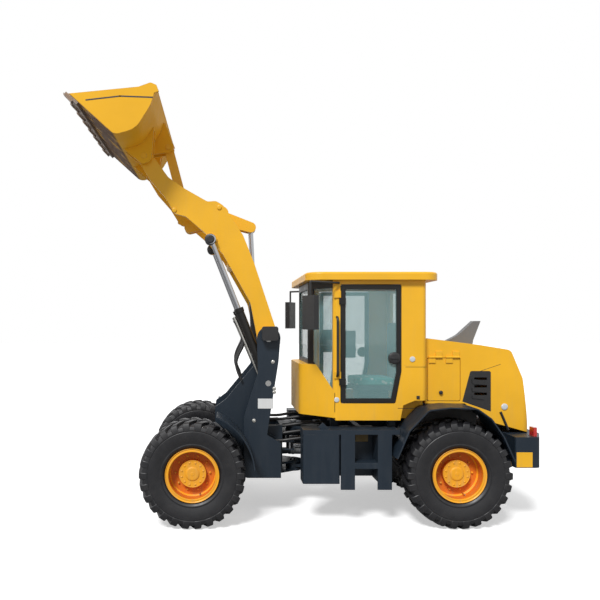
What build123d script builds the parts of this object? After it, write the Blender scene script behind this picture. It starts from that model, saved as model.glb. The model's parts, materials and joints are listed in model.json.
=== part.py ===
from build123d import *
from math import cos, radians, sin
import os

# A compact articulated wheel loader with its boom raised and its bucket rolled back.
# Millimetres. While it is built up, X runs forward from the articulation pin, Y to the left and
# Z up from the ground. The whole machine is then centred over the origin.

# ---- Running clearances ----
FACE_GAP = 0.5          # between faces that turn or slide past each other
BORE_GAP = 0.5          # between a pin or a rod and the bore around it
DOOR_GAP = 6            # round a door in its opening
WELD = 2                # how far welded plates reach into each other

# ---- Wheels and axles ----
TYRE_RADIUS = 537.5
TYRE_WIDTH = 410
TRACK = 1530
WHEELBASE = 2667
FRONT_AXLE_X = 1108
SIDEWALL_RADIUS = 405
TREAD_HALF_WIDTH = 150
LUG_COUNT = 24
LUG_FOOT_SHARE = 0.6     # of the tread's pitch
LUG_TIP_SHARE = 0.44
LUG_DEPTH = 26
SHOULDER_RADIUS = 495
RIM_SEAT_RADIUS = 250
RIM_FLANGE_RADIUS = 266
RIM_BEAD_WIDTH = 330
RIM_PLATE = 12
DISC_OFFSET = 20
HUB_RADIUS = 138
HUB_INNER_REACH = 165
HUB_OUTER_REACH = 100
AXLE_TUBE_RADIUS = 80
AXLE_DRUM_RADIUS = 145
AXLE_DRUM_WIDTH = 50
DIFFERENTIAL_RADIUS = 180
PINION_RADIUS = 85
PINION_REACH = 250
AXLE_PAD = 120

# ---- Rear frame ----
RAIL_OUTER_Y = 370
RAIL_WIDTH = 40
RAIL_BOTTOM = 660
RAIL_TOP = 900
RAIL_FRONT_X = -300
RAIL_REAR_X = -2050
YOKE_PLATE = 25
BEAM_WIDTH = 60
BEAM_HEIGHT = 70
ENGINE_FRONT_X = -1370
ENGINE_LENGTH = 640
ENGINE_WIDTH = 480
ENGINE_HEIGHT = 600
GEARBOX_FRONT_X = -560
GEARBOX_LENGTH = 390
GEARBOX_WIDTH = 360
GEARBOX_HEIGHT = 380
SHAFT_RADIUS = 30
SHAFT_BALL_RADIUS = 42
SHAFT_Z = 600
SHAFT_HOLE_RADIUS = 75
TANK_WIDTH = 230
TANK_FRONT_X = -420
TANK_LENGTH = 550
TANK_BOTTOM = 450
COUNTERWEIGHT_BOTTOM = 594
COUNTERWEIGHT_TOP = 905
COUNTERWEIGHT_HALF_WIDTH = 850
COUNTERWEIGHT_SIDE_LENGTH = 241.5
COUNTERWEIGHT_TAPER = 250
COUNTERWEIGHT_NECK = 480
WHEEL_CLEARANCE = 62
COUNTERWEIGHT_LENGTH = 361.5
HITCH_BORE_RADIUS = 21
HITCH_SLOT_WIDTH = 130
HITCH_SLOT_DEPTH = 130
HITCH_SLOT_BOTTOM = 660
HITCH_SLOT_TOP = 760
HITCH_BORE_INSET = 36

# ---- Articulation ----
HINGE_PIN_RADIUS = 35
HINGE_BOSS_RADIUS = 85
HINGE_LUG_THICKNESS = 30
FORK_PLATE = 25
FORK_RADIUS = 95
UPPER_HINGE_Z = 880
LOWER_HINGE_Z = 450
HINGE_BOSS_HEIGHT = 69
HINGE_PIN_OVERHANG = 15
HINGE_ROOT_HALF_WIDTH = 200
STEER_REAR_X = -550
STEER_REAR_Y = 250
STEER_FRONT_X = 60
STEER_FRONT_Y = 235
STEER_Z = 710
STEER_BARREL_RADIUS = 38
STEER_BARREL_START = 46
STEER_BORE_BOTTOM = 52
STEER_BARREL_LENGTH = 380
STEER_ROD_RADIUS = 22
STEER_ROD_LENGTH = 425
STEER_EYE_RADIUS = 42
STEER_EYE_WIDTH = 68
STEER_PIN_RADIUS = 20
STEER_LUG = 15

# ---- Steps, boxes and fenders ----
SIDE_OUTER_Y = 850
SIDE_INNER_Y = 620
BOARD_TOP = 978
BOARD_THICKNESS = 48
BOARD_REAR_X = -990
SIDE_BOX_FRONT_X = -9
SIDE_BOX_LENGTH = 374
SIDE_BOX_BOTTOM = 432
LADDER_BOTTOM = 372
LADDER_POST = 142
LADDER_FRONT_X = -393
LADDER_REAR_X = -909
LADDER_PLATE = 20
RUNG_TOP = 645
RUNG_THICKNESS = 60
RUNG_DEPTH = 150
FENDER_THICKNESS = 14
FENDER_OUTER_Y = 970
TAIL_LAMP = 90
TAIL_LAMP_DEPTH = 35

# ---- Cab ----
CAB_HALF_WIDTH = 740
CAB_WALL = 35
CAB_BOTTOM = 1058
CAB_TOP = 2503
CAB_CEILING = 25
CAB_REAR_X = -1300
CAB_CORNER_X = -357
GLASS_FRONT_X = -116
NOSE_FRONT_X = -20
NOSE_HALF_WIDTH = 420
NOSE_TOP = 1622
NOSE_BOTTOM = 1082
NOSE_CORNER_RADIUS = 110
CAB_SEAM_X = -335        # between the black front frame and the yellow rest, over the nose
CAB_CORNER_RADIUS = 50
WHEEL_WELL_Y = 590
WHEEL_WELL_X = -985
WHEEL_WELL_TOP = 1262
ROOF_FRONT_X = -54
ROOF_REAR_X = -1432
ROOF_HALF_WIDTH = 800
ROOF_THICKNESS = 82
ROOF_CORNER = 170
ROOF_EDGE = 22
DOOR_FRONT_X = -414
DOOR_REAR_X = -1031
DOOR_BOTTOM = 1238
DOOR_TOP = 2455
DOOR_SLANT_Z = 1560
DOOR_SLANT = 62
DOOR_THICKNESS = 40
DOOR_FRAME = 46
HINGE_OFFSET = 12       # from a door's edge and face to its axis
HINGE_KNUCKLE = 10
HINGE_HEIGHT = 70
HINGE_LEAF = 60
DOOR_HINGES = (1420, 2250)
GLASS = 6
GLASS_INSET = 14
PANE_GAP = 0.5
WINDSHIELD_BOTTOM = 1668
WINDOW_TOP = 2425
WINDSHIELD_HALF_WIDTH = 385
REAR_WINDOW_BOTTOM = 1960
REAR_WINDOW_HALF_WIDTH = 560
MIRROR_WIDTH = 190
MIRROR_HEIGHT = 340
MIRROR_DEPTH = 60
MIRROR_PLACE = (-70, 955, 2165)
MIRROR_TURN = 30
MIRROR_ARM_RADIUS = 11
MIRROR_ARM_Z = 2472
MIRROR_FOOT_X = -385
SEAT_X = -880
SEAT_WIDTH = 480
SEAT_DEPTH = 460
SEAT_HEIGHT = 1460
CUSHION = 110
BACKREST_HEIGHT = 620
COLUMN_RADIUS = 45
STEERING_WHEEL_RADIUS = 190
STEERING_WHEEL_TUBE = 16
COLUMN_FOOT_X = -440
COLUMN_TOP_X = -520
STEERING_WHEEL_Z = 1780

# ---- Hood ----
HOOD_HALF_WIDTH = 600
HOOD_WALL = 20
HOOD_FRONT_X = -1325
HOOD_FRONT_TOP = 1903
HOOD_BREAK_X = -1901
HOOD_BREAK_Z = 1830
HOOD_TAIL_X = -2226
HOOD_TAIL_Z = 1777
HOOD_SHOULDER_X = -2350
HOOD_SHOULDER_Z = 1480
HOOD_REAR_X = -2431
HOOD_SIDE_BOTTOM = 1215
HOOD_ARCH_X = -1740
HOOD_ARCH_REAR_X = -1960
HOOD_ARCH_REAR_Z = 1040
HOOD_SEAM_X = -2237
HOOD_CORNER = 90
HOOD_DOOR_FRONT_X = -1350
HOOD_DOOR_REAR_X = -1690
HOOD_DOOR_BOTTOM = 1245
HOOD_DOOR_TOP = 1690
HOOD_HINGES = (-1430, -1610)
GRILLE_FRONT_X = -1715
GRILLE_REAR_X = -2015
GRILLE_SLANT = 85
GRILLE_BOTTOM = 1235
GRILLE_REAR_BOTTOM = 1130
GRILLE_TOP = 1556
GRILLE_SLOTS = 3
GRILLE_SLOT = 26
REAR_GRILLE_HALF_WIDTH = 330
REAR_GRILLE_BOTTOM = 1040
REAR_GRILLE_TOP = 1500
EXHAUST_FRONT_X = -1745
EXHAUST_REAR_X = -2040
EXHAUST_TIP_X = -2135
EXHAUST_TIP_Z = 2086
EXHAUST_TIP_LENGTH = 80
EXHAUST_WIDTH = 90

# ---- Front frame and tower ----
FRONT_SIDE_Y = 300
FRONT_PLATE = 25
FRONT_REAR_X = 150
FRONT_BOTTOM = 415
FRONT_AXLE_SEAT = 640
FRONT_TOP = 860
FRONT_NOSE_X = 1300
TOWER_REAR_X = 185
TOWER_FOOT_FRONT_X = 578
TOWER_OUTER_Y = 533
TOWER_OUTER_PLATE = 18
TOWER_WEB = 20
TOWER_HEAD_RADIUS = 124
FRONT_FENDER_RADIUS = 620
FRONT_FENDER_START = 113
FRONT_FENDER_END = 176
FRONT_FENDER_OUTER_Y = 930
HEADLAMP_LENGTH = 170
HEADLAMP_HEIGHT = 150
HEADLAMP_WIDTH = 90
HEADLAMP_X = 305
HEADLAMP_Z = 1950

# ---- Boom, linkage and bucket: pins in the X-Z plane ----
BOOM_PIN = (315, 1900)
BUCKET_PIN = (1650, 3860)
CRANK_PIN = (820, 3258)
CRANK_LOWER = (380, -17)        # length and angle of the arm to the link
CRANK_UPPER = (350, 198)        # length and angle of the arm to the cylinder
LIFT_BASE = (320, 1420)
LIFT_EYE = (929, 2959)
TILT_BASE = (420, 1691.5)
BUCKET_ANGLE = 42.2
LINK_ON_BUCKET = (-32, 299)
BOOM_INNER_Y = 360
BOOM_PLATE = 50
BOOM_ROOT_RADIUS = 118
BOOM_TIP_RADIUS = 80
ROOT_HUB_RADIUS = 90
ROOT_PIN_RADIUS = 40
CROSS_TUBE = (710, 2720)
CROSS_TUBE_RADIUS = 50
CRANK_STUB_RADIUS = 78
CRANK_STUB_Y = 100
CRANK_HUB_RADIUS = 80
CRANK_ARM_RADIUS = 58
CRANK_PLATE_INNER = 45
CRANK_PLATE = 28
PIVOT_PIN_RADIUS = 30
LINK_RADIUS = 52
LIFT_Y = 462
LIFT_BARREL_RADIUS = 45
LIFT_BARREL_START = 48
LIFT_BORE_BOTTOM = 68
LIFT_BARREL_LENGTH = 860
LIFT_ROD_RADIUS = 25
LIFT_ROD_LENGTH = 880
LIFT_EYE_RADIUS = 50
LIFT_EYE_WIDTH = 73
TILT_BARREL_RADIUS = 55
TILT_BARREL_START = 90
TILT_BORE_BOTTOM = 115
TILT_BARREL_LENGTH = 850
TILT_ROD_RADIUS = 28
TILT_ROD_LENGTH = 1150
TILT_EYE_RADIUS = 55
TILT_BEAM = (325, 1560)
TILT_BEAM_RADIUS = 60
TILT_LUG = 30
GLAND_LENGTH = 45
GLAND_LIP = 7
BUCKET_HALF_WIDTH = 1000
BUCKET_HEEL = (240, -110)       # from the bucket pin, along and square to the floor
BUCKET_SHEET = 18
BUCKET_SIDE = 20
BUCKET_FLOOR = 575
BUCKET_LIP_HEIGHT = 648
BUCKET_LIP_SETBACK = -12
BUCKET_GUARD_HEIGHT = 150
BUCKET_EAR = 30
BUCKET_EAR_RADIUS = 85
BUCKET_PIN_RADIUS = 32
EDGE_THICKNESS = 25
EDGE_LENGTH = 160
EDGE_OVERHANG = 30
TOOTH_COUNT = 8
TOOTH_WIDTH = 60
TOOTH_LENGTH = 120
TOOTH_REACH = 15         # ahead of the cutting edge
TOOTH_HEIGHT = 22

# ---- Worked-out places ----
AXLE_Z = TYRE_RADIUS
REAR_AXLE_X = FRONT_AXLE_X - WHEELBASE
WHEEL_Y = TRACK / 2
RAIL_INNER_Y = RAIL_OUTER_Y - RAIL_WIDTH
BOOM_OUTER_Y = BOOM_INNER_Y + BOOM_PLATE
TOWER_INNER_FACE = TOWER_OUTER_Y - TOWER_OUTER_PLATE
INNER_TOWER_Y = FRONT_SIDE_Y + FRONT_PLATE
DOOR_HINGE = (DOOR_FRONT_X + HINGE_OFFSET, CAB_HALF_WIDTH + HINGE_OFFSET)
HOOD_DOOR_HINGE = (HOOD_HALF_WIDTH + HINGE_OFFSET, HOOD_DOOR_TOP + HINGE_OFFSET)
COUNTERWEIGHT_FRONT_X = REAR_AXLE_X - TYRE_RADIUS - WHEEL_CLEARANCE
COUNTERWEIGHT_SIDE_X = COUNTERWEIGHT_FRONT_X - COUNTERWEIGHT_SIDE_LENGTH
COUNTERWEIGHT_REAR_X = COUNTERWEIGHT_FRONT_X - COUNTERWEIGHT_LENGTH


def swung(centre, arm):
    """The end of an arm, given as a length and an angle, that starts at a centre."""
    length, angle = arm
    return (centre[0] + length * cos(radians(angle)), centre[1] + length * sin(radians(angle)))


def on_bucket(point):
    """A point given from the bucket pin along and square to the floor, as X and Z."""
    c = cos(radians(BUCKET_ANGLE))
    s = sin(radians(BUCKET_ANGLE))
    return (BUCKET_PIN[0] + point[0] * c - point[1] * s, BUCKET_PIN[1] + point[0] * s + point[1] * c)


LINK_PIN = swung(CRANK_PIN, CRANK_LOWER)
TILT_EYE = swung(CRANK_PIN, CRANK_UPPER)
LINK_END = on_bucket(LINK_ON_BUCKET)


# ---- Building blocks ----
def box(x, y, z):
    """A block between two limits along each axis."""
    size = [limits[1] - limits[0] for limits in (x, y, z)]
    middle = [sum(limits) / 2 for limits in (x, y, z)]
    return Pos(*middle) * Box(*size)


def bar_y(place, radius, span):
    """A round bar across the machine, through a place in the X-Z plane."""
    return Pos(place[0], sum(span) / 2, place[1]) * Rot(90, 0, 0) * Cylinder(radius, span[1] - span[0])


def bar_z(place, radius, span):
    """An upright round bar through a place in the X-Y plane."""
    return Pos(place[0], place[1], sum(span) / 2) * Cylinder(radius, span[1] - span[0])


def bar(start, end, radius):
    """A round bar between two points."""
    run = Vector(*end) - Vector(*start)
    return extrude(Plane(origin=start, z_dir=run) * Circle(radius), run.length)


def drawn(corners):
    """A flat face through corners given as two coordinates and a corner radius."""
    points = [(corner[0], corner[1]) for corner in corners]
    radii = [corner[2] for corner in corners]
    return make_face(FilletPolyline(*points, radius=radii, close=True))


def across(face, span):
    """A face of X-Z coordinates, made solid between two lateral places."""
    return extrude(Plane.XZ.offset(-span[1]) * face, span[1] - span[0])


def slab(corners, span):
    """A plate across the machine with an X-Z outline."""
    return across(drawn(corners), span)


def tier(corners, span):
    """A level plate with an X-Y outline between two heights."""
    return extrude(Pos(0, 0, span[0]) * drawn(corners), span[1] - span[0])


def strap(first, first_radius, second, second_radius, span):
    """A plate across the machine with a round end about each of two places."""
    rounds = [Pos(*first) * Circle(first_radius), Pos(*second) * Circle(second_radius)]
    return across(make_hull([edge for ring in rounds for edge in ring.edges()]), span)


def both(solid):
    """A solid on the left side and its mirror image on the right."""
    return [solid, mirror(solid, about=Plane.XZ)]


def drawn_in(corners, wall):
    """A sheet's inner outline: its open side runs from the last corner back to the first."""
    reach = 12 * wall
    ends = []
    for end, neighbour in ((corners[0], corners[1]), (corners[-1], corners[-2])):
        away = Vector(end[0] - neighbour[0], end[1] - neighbour[1]).normalized() * reach
        ends.append((end[0] + away.X, end[1] + away.Y, end[2]))
    return offset(drawn([ends[0], *corners[1:-1], ends[1]]), amount=-wall)


# ---- Wheels ----
def tread_block():
    """A toothed disc as wide as the tyre: where the two meet, straight lugs are left."""
    foot = (TYRE_RADIUS - LUG_DEPTH, 180 * LUG_FOOT_SHARE / LUG_COUNT)
    tip = (TYRE_RADIUS + 5, 180 * LUG_TIP_SHARE / LUG_COUNT)
    outline = []
    for lug in range(LUG_COUNT):
        middle = 360 * lug / LUG_COUNT
        for (radius, turn), side in ((foot, -1), (tip, -1), (tip, 1), (foot, 1)):
            outline.append((*swung((0, 0), (radius, middle + side * turn)), 0))
    return slab(outline, (-TYRE_WIDTH / 2, TYRE_WIDTH / 2))


def tyre():
    """The tyre about its own centre, its axis along Y, out to the tips of the tread."""
    bead = RIM_BEAD_WIDTH / 2
    half = TYRE_WIDTH / 2
    side = [
        (RIM_SEAT_RADIUS, bead, 0),
        (RIM_FLANGE_RADIUS + 3, bead, 0),
        (RIM_FLANGE_RADIUS + 22, half - 14, 12),
        (SIDEWALL_RADIUS, half, 60),
        (SHOULDER_RADIUS, half - 8, 26),
        (TYRE_RADIUS, TREAD_HALF_WIDTH, 18),
    ]
    other = [(radius, -y, fillet) for radius, y, fillet in reversed(side)]
    return revolve(drawn(side + other), Axis.Y) & tread_block()


def rim():
    """The rim, disc and hub about the wheel's centre, the outer side towards +Y."""
    centre = (0, 0)
    bead = RIM_BEAD_WIDTH / 2
    edge = bead + RIM_PLATE
    inside = RIM_SEAT_RADIUS - RIM_PLATE
    wheel = bar_y(centre, RIM_SEAT_RADIUS, (-edge, edge))
    wheel += bar_y(centre, RIM_FLANGE_RADIUS, (bead, edge))
    wheel += bar_y(centre, RIM_FLANGE_RADIUS, (-edge, -bead))
    wheel -= bar_y(centre, inside, (-edge, edge))
    disc_face = DISC_OFFSET + RIM_PLATE
    wheel += bar_y(centre, inside + WELD, (DISC_OFFSET, disc_face))
    wheel += bar_y(centre, HUB_RADIUS, (-HUB_INNER_REACH, HUB_OUTER_REACH))
    return wheel


def axle(x, seat_y, seat_z, towards):
    """An axle housing with its drums, its pinion nose and the pads that carry the frame."""
    end = WHEEL_Y - HUB_INNER_REACH - FACE_GAP
    centre = (x, AXLE_Z)
    housing = bar_y(centre, AXLE_TUBE_RADIUS, (-end, end))
    housing += Pos(x, 0, AXLE_Z) * Sphere(DIFFERENTIAL_RADIUS)
    housing += bar((x, 0, AXLE_Z), (x + towards * PINION_REACH, 0, AXLE_Z), PINION_RADIUS)
    for side in (-1, 1):
        drum = sorted((side * end, side * (end - AXLE_DRUM_WIDTH)))
        housing += bar_y(centre, AXLE_DRUM_RADIUS, drum)
        pad = (side * seat_y - RAIL_WIDTH / 2, side * seat_y + RAIL_WIDTH / 2)
        housing += box((x - AXLE_PAD / 2, x + AXLE_PAD / 2), pad, (AXLE_Z, seat_z))
    return housing


def front_axle():
    """The front axle with its shaft, which ends in a cup round the articulation's ball."""
    housing = axle(FRONT_AXLE_X, FRONT_SIDE_Y - FRONT_PLATE / 2, FRONT_AXLE_SEAT, -1)
    shaft = bar((0, 0, SHAFT_Z), (FRONT_AXLE_X, 0, AXLE_Z), SHAFT_RADIUS)
    return housing + (shaft - Pos(0, 0, SHAFT_Z) * Sphere(SHAFT_BALL_RADIUS + FACE_GAP))


# ---- Rear frame ----
def frame_rails():
    """Two rails with cross beams for the gearbox and the engine, and the cab's mounts."""
    rail = box((RAIL_REAR_X, RAIL_FRONT_X), (RAIL_INNER_Y, RAIL_OUTER_Y), (RAIL_BOTTOM, RAIL_TOP))
    rails = rail + mirror(rail, about=Plane.XZ)
    engine_bottom = RAIL_TOP - 50
    engine_beams = (ENGINE_FRONT_X - 100, ENGINE_FRONT_X - ENGINE_LENGTH + 40)
    reach = (-RAIL_INNER_Y - WELD, RAIL_INNER_Y + WELD)
    for x in engine_beams:
        rails += box((x, x + BEAM_WIDTH), reach, (engine_bottom - BEAM_HEIGHT, engine_bottom))
    gearbox_beam = GEARBOX_FRONT_X - GEARBOX_LENGTH / 2
    rails += box((gearbox_beam, gearbox_beam + BEAM_WIDTH), reach, (RAIL_TOP - 40, RAIL_TOP))
    rails += box((RAIL_REAR_X, RAIL_REAR_X + YOKE_PLATE), reach, (RAIL_BOTTOM, RAIL_TOP))
    for x in (CAB_CORNER_X - 90, WHEEL_WELL_X - 90):
        mount = box((x, x + 80), (RAIL_INNER_Y, RAIL_OUTER_Y), (RAIL_TOP - WELD, CAB_BOTTOM))
        rails += mount + mirror(mount, about=Plane.XZ)
    for seat in both(steer_seat()):
        rails += seat
    return rails


def hinge_lug(rear_x, radius, root_half_width, span):
    """A level plate from a cross plate to a round end about the articulation pin."""
    corners = [(rear_x, -root_half_width, 0), (rear_x, root_half_width, 0), (0, radius, 0), (0, -radius, 0)]
    return tier(corners, span) + bar_z((0, 0), radius, span)


def frame_yoke():
    """The cross plate at the front of the rails with the two bored lugs of the articulation."""
    face = RAIL_FRONT_X + YOKE_PLATE
    wall = (RAIL_FRONT_X, face)
    bottom = LOWER_HINGE_Z - HINGE_BOSS_RADIUS / 2
    yoke = box(wall, (-RAIL_OUTER_Y, RAIL_OUTER_Y), (bottom, RAIL_TOP))
    for side in (-1, 1):
        window = (side * STEER_REAR_Y - 60, side * STEER_REAR_Y + 60)
        yoke -= box(wall, window, (STEER_Z - 80, STEER_Z + 80))
    yoke -= bar((RAIL_FRONT_X - 1, 0, SHAFT_Z), (face + 1, 0, SHAFT_Z), SHAFT_HOLE_RADIUS)
    half_boss = HINGE_BOSS_HEIGHT / 2
    half_lug = HINGE_LUG_THICKNESS / 2
    for z in (LOWER_HINGE_Z, UPPER_HINGE_Z):
        yoke += hinge_lug(face - WELD, HINGE_BOSS_RADIUS, HINGE_ROOT_HALF_WIDTH, (z - half_lug, z + half_lug))
        yoke += bar_z((0, 0), HINGE_BOSS_RADIUS, (z - half_boss, z + half_boss))
        yoke -= bar_z((0, 0), HINGE_PIN_RADIUS + BORE_GAP, (z - half_boss, z + half_boss))
    return yoke


def steer_seat():
    """The left rail's two lugs with the pin that carries a steering cylinder's base."""
    lug_x = (STEER_REAR_X - STEER_EYE_RADIUS, STEER_REAR_X + STEER_EYE_RADIUS)
    lug_y = (STEER_REAR_Y - STEER_EYE_RADIUS, RAIL_INNER_Y + WELD)
    lower, upper = steer_lug_heights()
    seat = box(lug_x, lug_y, lower) + box(lug_x, lug_y, upper)
    return seat + bar_z((STEER_REAR_X, STEER_REAR_Y), STEER_PIN_RADIUS, (lower[0], upper[1]))


def steer_lug_heights():
    """The height limits of the plates on both sides of a steering cylinder's eye."""
    half = STEER_EYE_WIDTH / 2 + FACE_GAP
    return ((STEER_Z - half - STEER_LUG, STEER_Z - half), (STEER_Z + half, STEER_Z + half + STEER_LUG))


def gearbox():
    """The gearbox as one plain block, with a shaft to the articulation's ball and one to the rear axle."""
    rear_x = GEARBOX_FRONT_X - GEARBOX_LENGTH
    top = RAIL_TOP - 40
    case = box((rear_x, GEARBOX_FRONT_X), (-GEARBOX_WIDTH / 2, GEARBOX_WIDTH / 2), (top - GEARBOX_HEIGHT, top))
    case += bar((GEARBOX_FRONT_X - WELD, 0, SHAFT_Z), (0, 0, SHAFT_Z), SHAFT_RADIUS)
    case += Pos(0, 0, SHAFT_Z) * Sphere(SHAFT_BALL_RADIUS)
    return case + bar((rear_x + WELD, 0, AXLE_Z), (REAR_AXLE_X + PINION_REACH, 0, AXLE_Z), SHAFT_RADIUS)


def engine():
    """The engine on its beams, as one plain block."""
    bottom = RAIL_TOP - 50
    width = (-ENGINE_WIDTH / 2, ENGINE_WIDTH / 2)
    return box((ENGINE_FRONT_X - ENGINE_LENGTH, ENGINE_FRONT_X), width, (bottom, bottom + ENGINE_HEIGHT))


def tank():
    """The left tank against the outside of the rail, behind the ladder."""
    y = (RAIL_OUTER_Y, RAIL_OUTER_Y + TANK_WIDTH)
    block = box((TANK_FRONT_X - TANK_LENGTH, TANK_FRONT_X), y, (TANK_BOTTOM, RAIL_TOP))
    return fillet(block.edges().filter_by(Axis.X), 25)


def counterweight():
    """The counterweight behind the rails, with its tow slot and the bore for the tow pin."""
    rear = COUNTERWEIGHT_REAR_X
    y = COUNTERWEIGHT_HALF_WIDTH
    left = [
        (rear, y - COUNTERWEIGHT_TAPER, 80), (COUNTERWEIGHT_SIDE_X, y, 60), (COUNTERWEIGHT_FRONT_X, y, 20),
        (COUNTERWEIGHT_FRONT_X, COUNTERWEIGHT_NECK, 0), (RAIL_REAR_X, COUNTERWEIGHT_NECK, 0),
    ]
    outline = left + [(x, -side_y, corner) for x, side_y, corner in reversed(left)]
    weight = tier(outline, (COUNTERWEIGHT_BOTTOM, COUNTERWEIGHT_TOP))
    slot = (-HITCH_SLOT_WIDTH / 2, HITCH_SLOT_WIDTH / 2)
    weight -= box((rear, rear + HITCH_SLOT_DEPTH), slot, (HITCH_SLOT_BOTTOM, HITCH_SLOT_TOP))
    bore = (rear + HITCH_BORE_INSET, 0)
    return weight - bar_z(bore, HITCH_BORE_RADIUS, (COUNTERWEIGHT_BOTTOM, COUNTERWEIGHT_TOP))


# ---- Steps, boxes, fenders and lamps ----
def side_box():
    """The left battery box under the running board, with its arm to the rail."""
    board_bottom = BOARD_TOP - BOARD_THICKNESS
    rear = SIDE_BOX_FRONT_X - SIDE_BOX_LENGTH
    case = box((rear, SIDE_BOX_FRONT_X), (SIDE_INNER_Y, SIDE_OUTER_Y), (SIDE_BOX_BOTTOM, board_bottom))
    case = fillet(case.edges().filter_by(Axis.Z), 20)
    arm_z = (RAIL_BOTTOM + 40, RAIL_BOTTOM + 140)
    return case + box((rear, RAIL_FRONT_X - WELD), (RAIL_OUTER_Y, SIDE_INNER_Y + WELD), arm_z)


def ladder():
    """The left running board with two posts, their webs to the tank and a rung."""
    board_bottom = BOARD_TOP - BOARD_THICKNESS
    steps = box((BOARD_REAR_X, SIDE_BOX_FRONT_X), (SIDE_INNER_Y, SIDE_OUTER_Y), (board_bottom, BOARD_TOP))
    outer = (SIDE_OUTER_Y - LADDER_PLATE, SIDE_OUTER_Y)
    post_z = (LADDER_BOTTOM, board_bottom + WELD)
    front_post = LADDER_FRONT_X - LADDER_POST
    rear_post = LADDER_REAR_X + LADDER_POST
    web_y = (RAIL_OUTER_Y + TANK_WIDTH, SIDE_OUTER_Y - LADDER_PLATE + WELD)
    web_z = (TANK_BOTTOM, board_bottom + WELD)
    steps += box((front_post, LADDER_FRONT_X), outer, post_z)
    steps += box((LADDER_REAR_X, rear_post), outer, post_z)
    steps += box((front_post, front_post + LADDER_PLATE), web_y, web_z)
    steps += box((rear_post - LADDER_PLATE, rear_post), web_y, web_z)
    rung_z = (RUNG_TOP - RUNG_THICKNESS, RUNG_TOP)
    return steps + box((rear_post - WELD, front_post + WELD), (SIDE_OUTER_Y - RUNG_DEPTH, SIDE_OUTER_Y), rung_z)


def rear_fender():
    """The left rear fender: a bent sheet over the wheel, against the hood's side."""
    x = REAR_AXLE_X
    z = AXLE_Z
    arch = [
        (x + 633, z + 174, 0), (x + 514, z + 450, 90), (x + 315, z + 660, 90), (x + 97, z + 685, 90),
        (x - 171, z + 675, 90), (x - 316, z + 570, 80), (x - 439, z + 392, 80), (x - 552, z + 140, 0),
    ]
    span = (HOOD_HALF_WIDTH, FENDER_OUTER_Y)
    return slab(arch, span) - across(drawn_in(arch, FENDER_THICKNESS), span)


def tail_lamp():
    """The left tail lamp on the counterweight's top."""
    rear = COUNTERWEIGHT_SIDE_X
    y = COUNTERWEIGHT_HALF_WIDTH - 50
    z = (COUNTERWEIGHT_TOP, COUNTERWEIGHT_TOP + TAIL_LAMP)
    return box((rear, rear + TAIL_LAMP_DEPTH), (y - TAIL_LAMP, y), z)


# ---- Cab ----
def cab_plan(front_x, half_width, inset):
    """The cab's level outline, drawn in by an inset: its nose narrows ahead of the doors."""
    y = CAB_HALF_WIDTH
    outline = [
        (front_x, -half_width, NOSE_CORNER_RADIUS), (front_x, half_width, NOSE_CORNER_RADIUS),
        (CAB_CORNER_X, y, CAB_CORNER_RADIUS), (CAB_REAR_X, y, CAB_CORNER_RADIUS),
        (CAB_REAR_X, -y, CAB_CORNER_RADIUS), (CAB_CORNER_X, -y, CAB_CORNER_RADIUS),
    ]
    return offset(drawn(outline), amount=-inset) if inset else drawn(outline)


def cab_tier(front_x, inset, span):
    """One height of the cab, solid, its walls drawn in by an inset."""
    return extrude(Pos(0, 0, span[0]) * cab_plan(front_x, NOSE_HALF_WIDTH, inset), span[1] - span[0])


def wheel_well(margin, span):
    """What the rear wheel takes out of the cab's lower rear corner."""
    x = WHEEL_WELL_X + margin
    top = WHEEL_WELL_TOP + margin
    corners = [
        (x, CAB_BOTTOM - 200, 0), (x - 70, DOOR_BOTTOM - 25 + margin, 0), (x - 190, top, 0),
        (CAB_REAR_X - 200, top, 0), (CAB_REAR_X - 200, CAB_BOTTOM - 200, 0),
    ]
    return slab(corners, span)


def nose_cut(margin):
    """What lies under the raised underside of the nose."""
    return box((CAB_CORNER_X - margin, NOSE_FRONT_X + 200), (-CAB_HALF_WIDTH, CAB_HALF_WIDTH), (0, NOSE_BOTTOM + margin))


def door_outline(margin):
    """The door's outline, grown by a margin."""
    return [
        (DOOR_FRONT_X + margin, DOOR_BOTTOM - margin, 20), (DOOR_FRONT_X + margin, DOOR_TOP + margin, 20),
        (DOOR_REAR_X - margin, DOOR_TOP + margin, 20), (DOOR_REAR_X - margin, DOOR_SLANT_Z, 60),
        (DOOR_REAR_X + DOOR_SLANT - margin, DOOR_BOTTOM - margin, 20),
    ]


def door_window(margin):
    """The outline of the door's window, drawn in by a margin."""
    return across(offset(drawn(door_outline(0)), amount=-DOOR_FRAME - margin), (0, 2 * CAB_HALF_WIDTH))


def windshield_cutter(margin):
    """A block through the cab's front over the windshield."""
    y = WINDSHIELD_HALF_WIDTH - margin
    return box((GLASS_FRONT_X - 100, GLASS_FRONT_X + 100), (-y, y), (WINDSHIELD_BOTTOM + margin, WINDOW_TOP - margin))


def quarter_cutter(margin):
    """A block through the cab's slanted left front corner over its quarter window."""
    front = GLASS_FRONT_X - 50 - margin
    rear = CAB_CORNER_X + 22 + margin
    low = NOSE_TOP - 250 + 3 * margin
    corners = [
        (front, NOSE_TOP + 30 + margin, 0), (front, WINDOW_TOP - margin, 0),
        (rear, WINDOW_TOP - margin, 0), (rear, low, 0),
    ]
    return slab(corners, (NOSE_HALF_WIDTH - 60, CAB_HALF_WIDTH + 100))


def rear_cutter(margin):
    """A block through the cab's rear wall over its window."""
    y = REAR_WINDOW_HALF_WIDTH - margin
    z = (REAR_WINDOW_BOTTOM + margin, WINDOW_TOP - margin)
    return box((CAB_REAR_X - 100, CAB_REAR_X + 100), (-y, y), z)


def cab_windows(margin):
    """The cutters of the four fixed windows."""
    return [windshield_cutter(margin), *both(quarter_cutter(margin)), rear_cutter(margin)]


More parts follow.
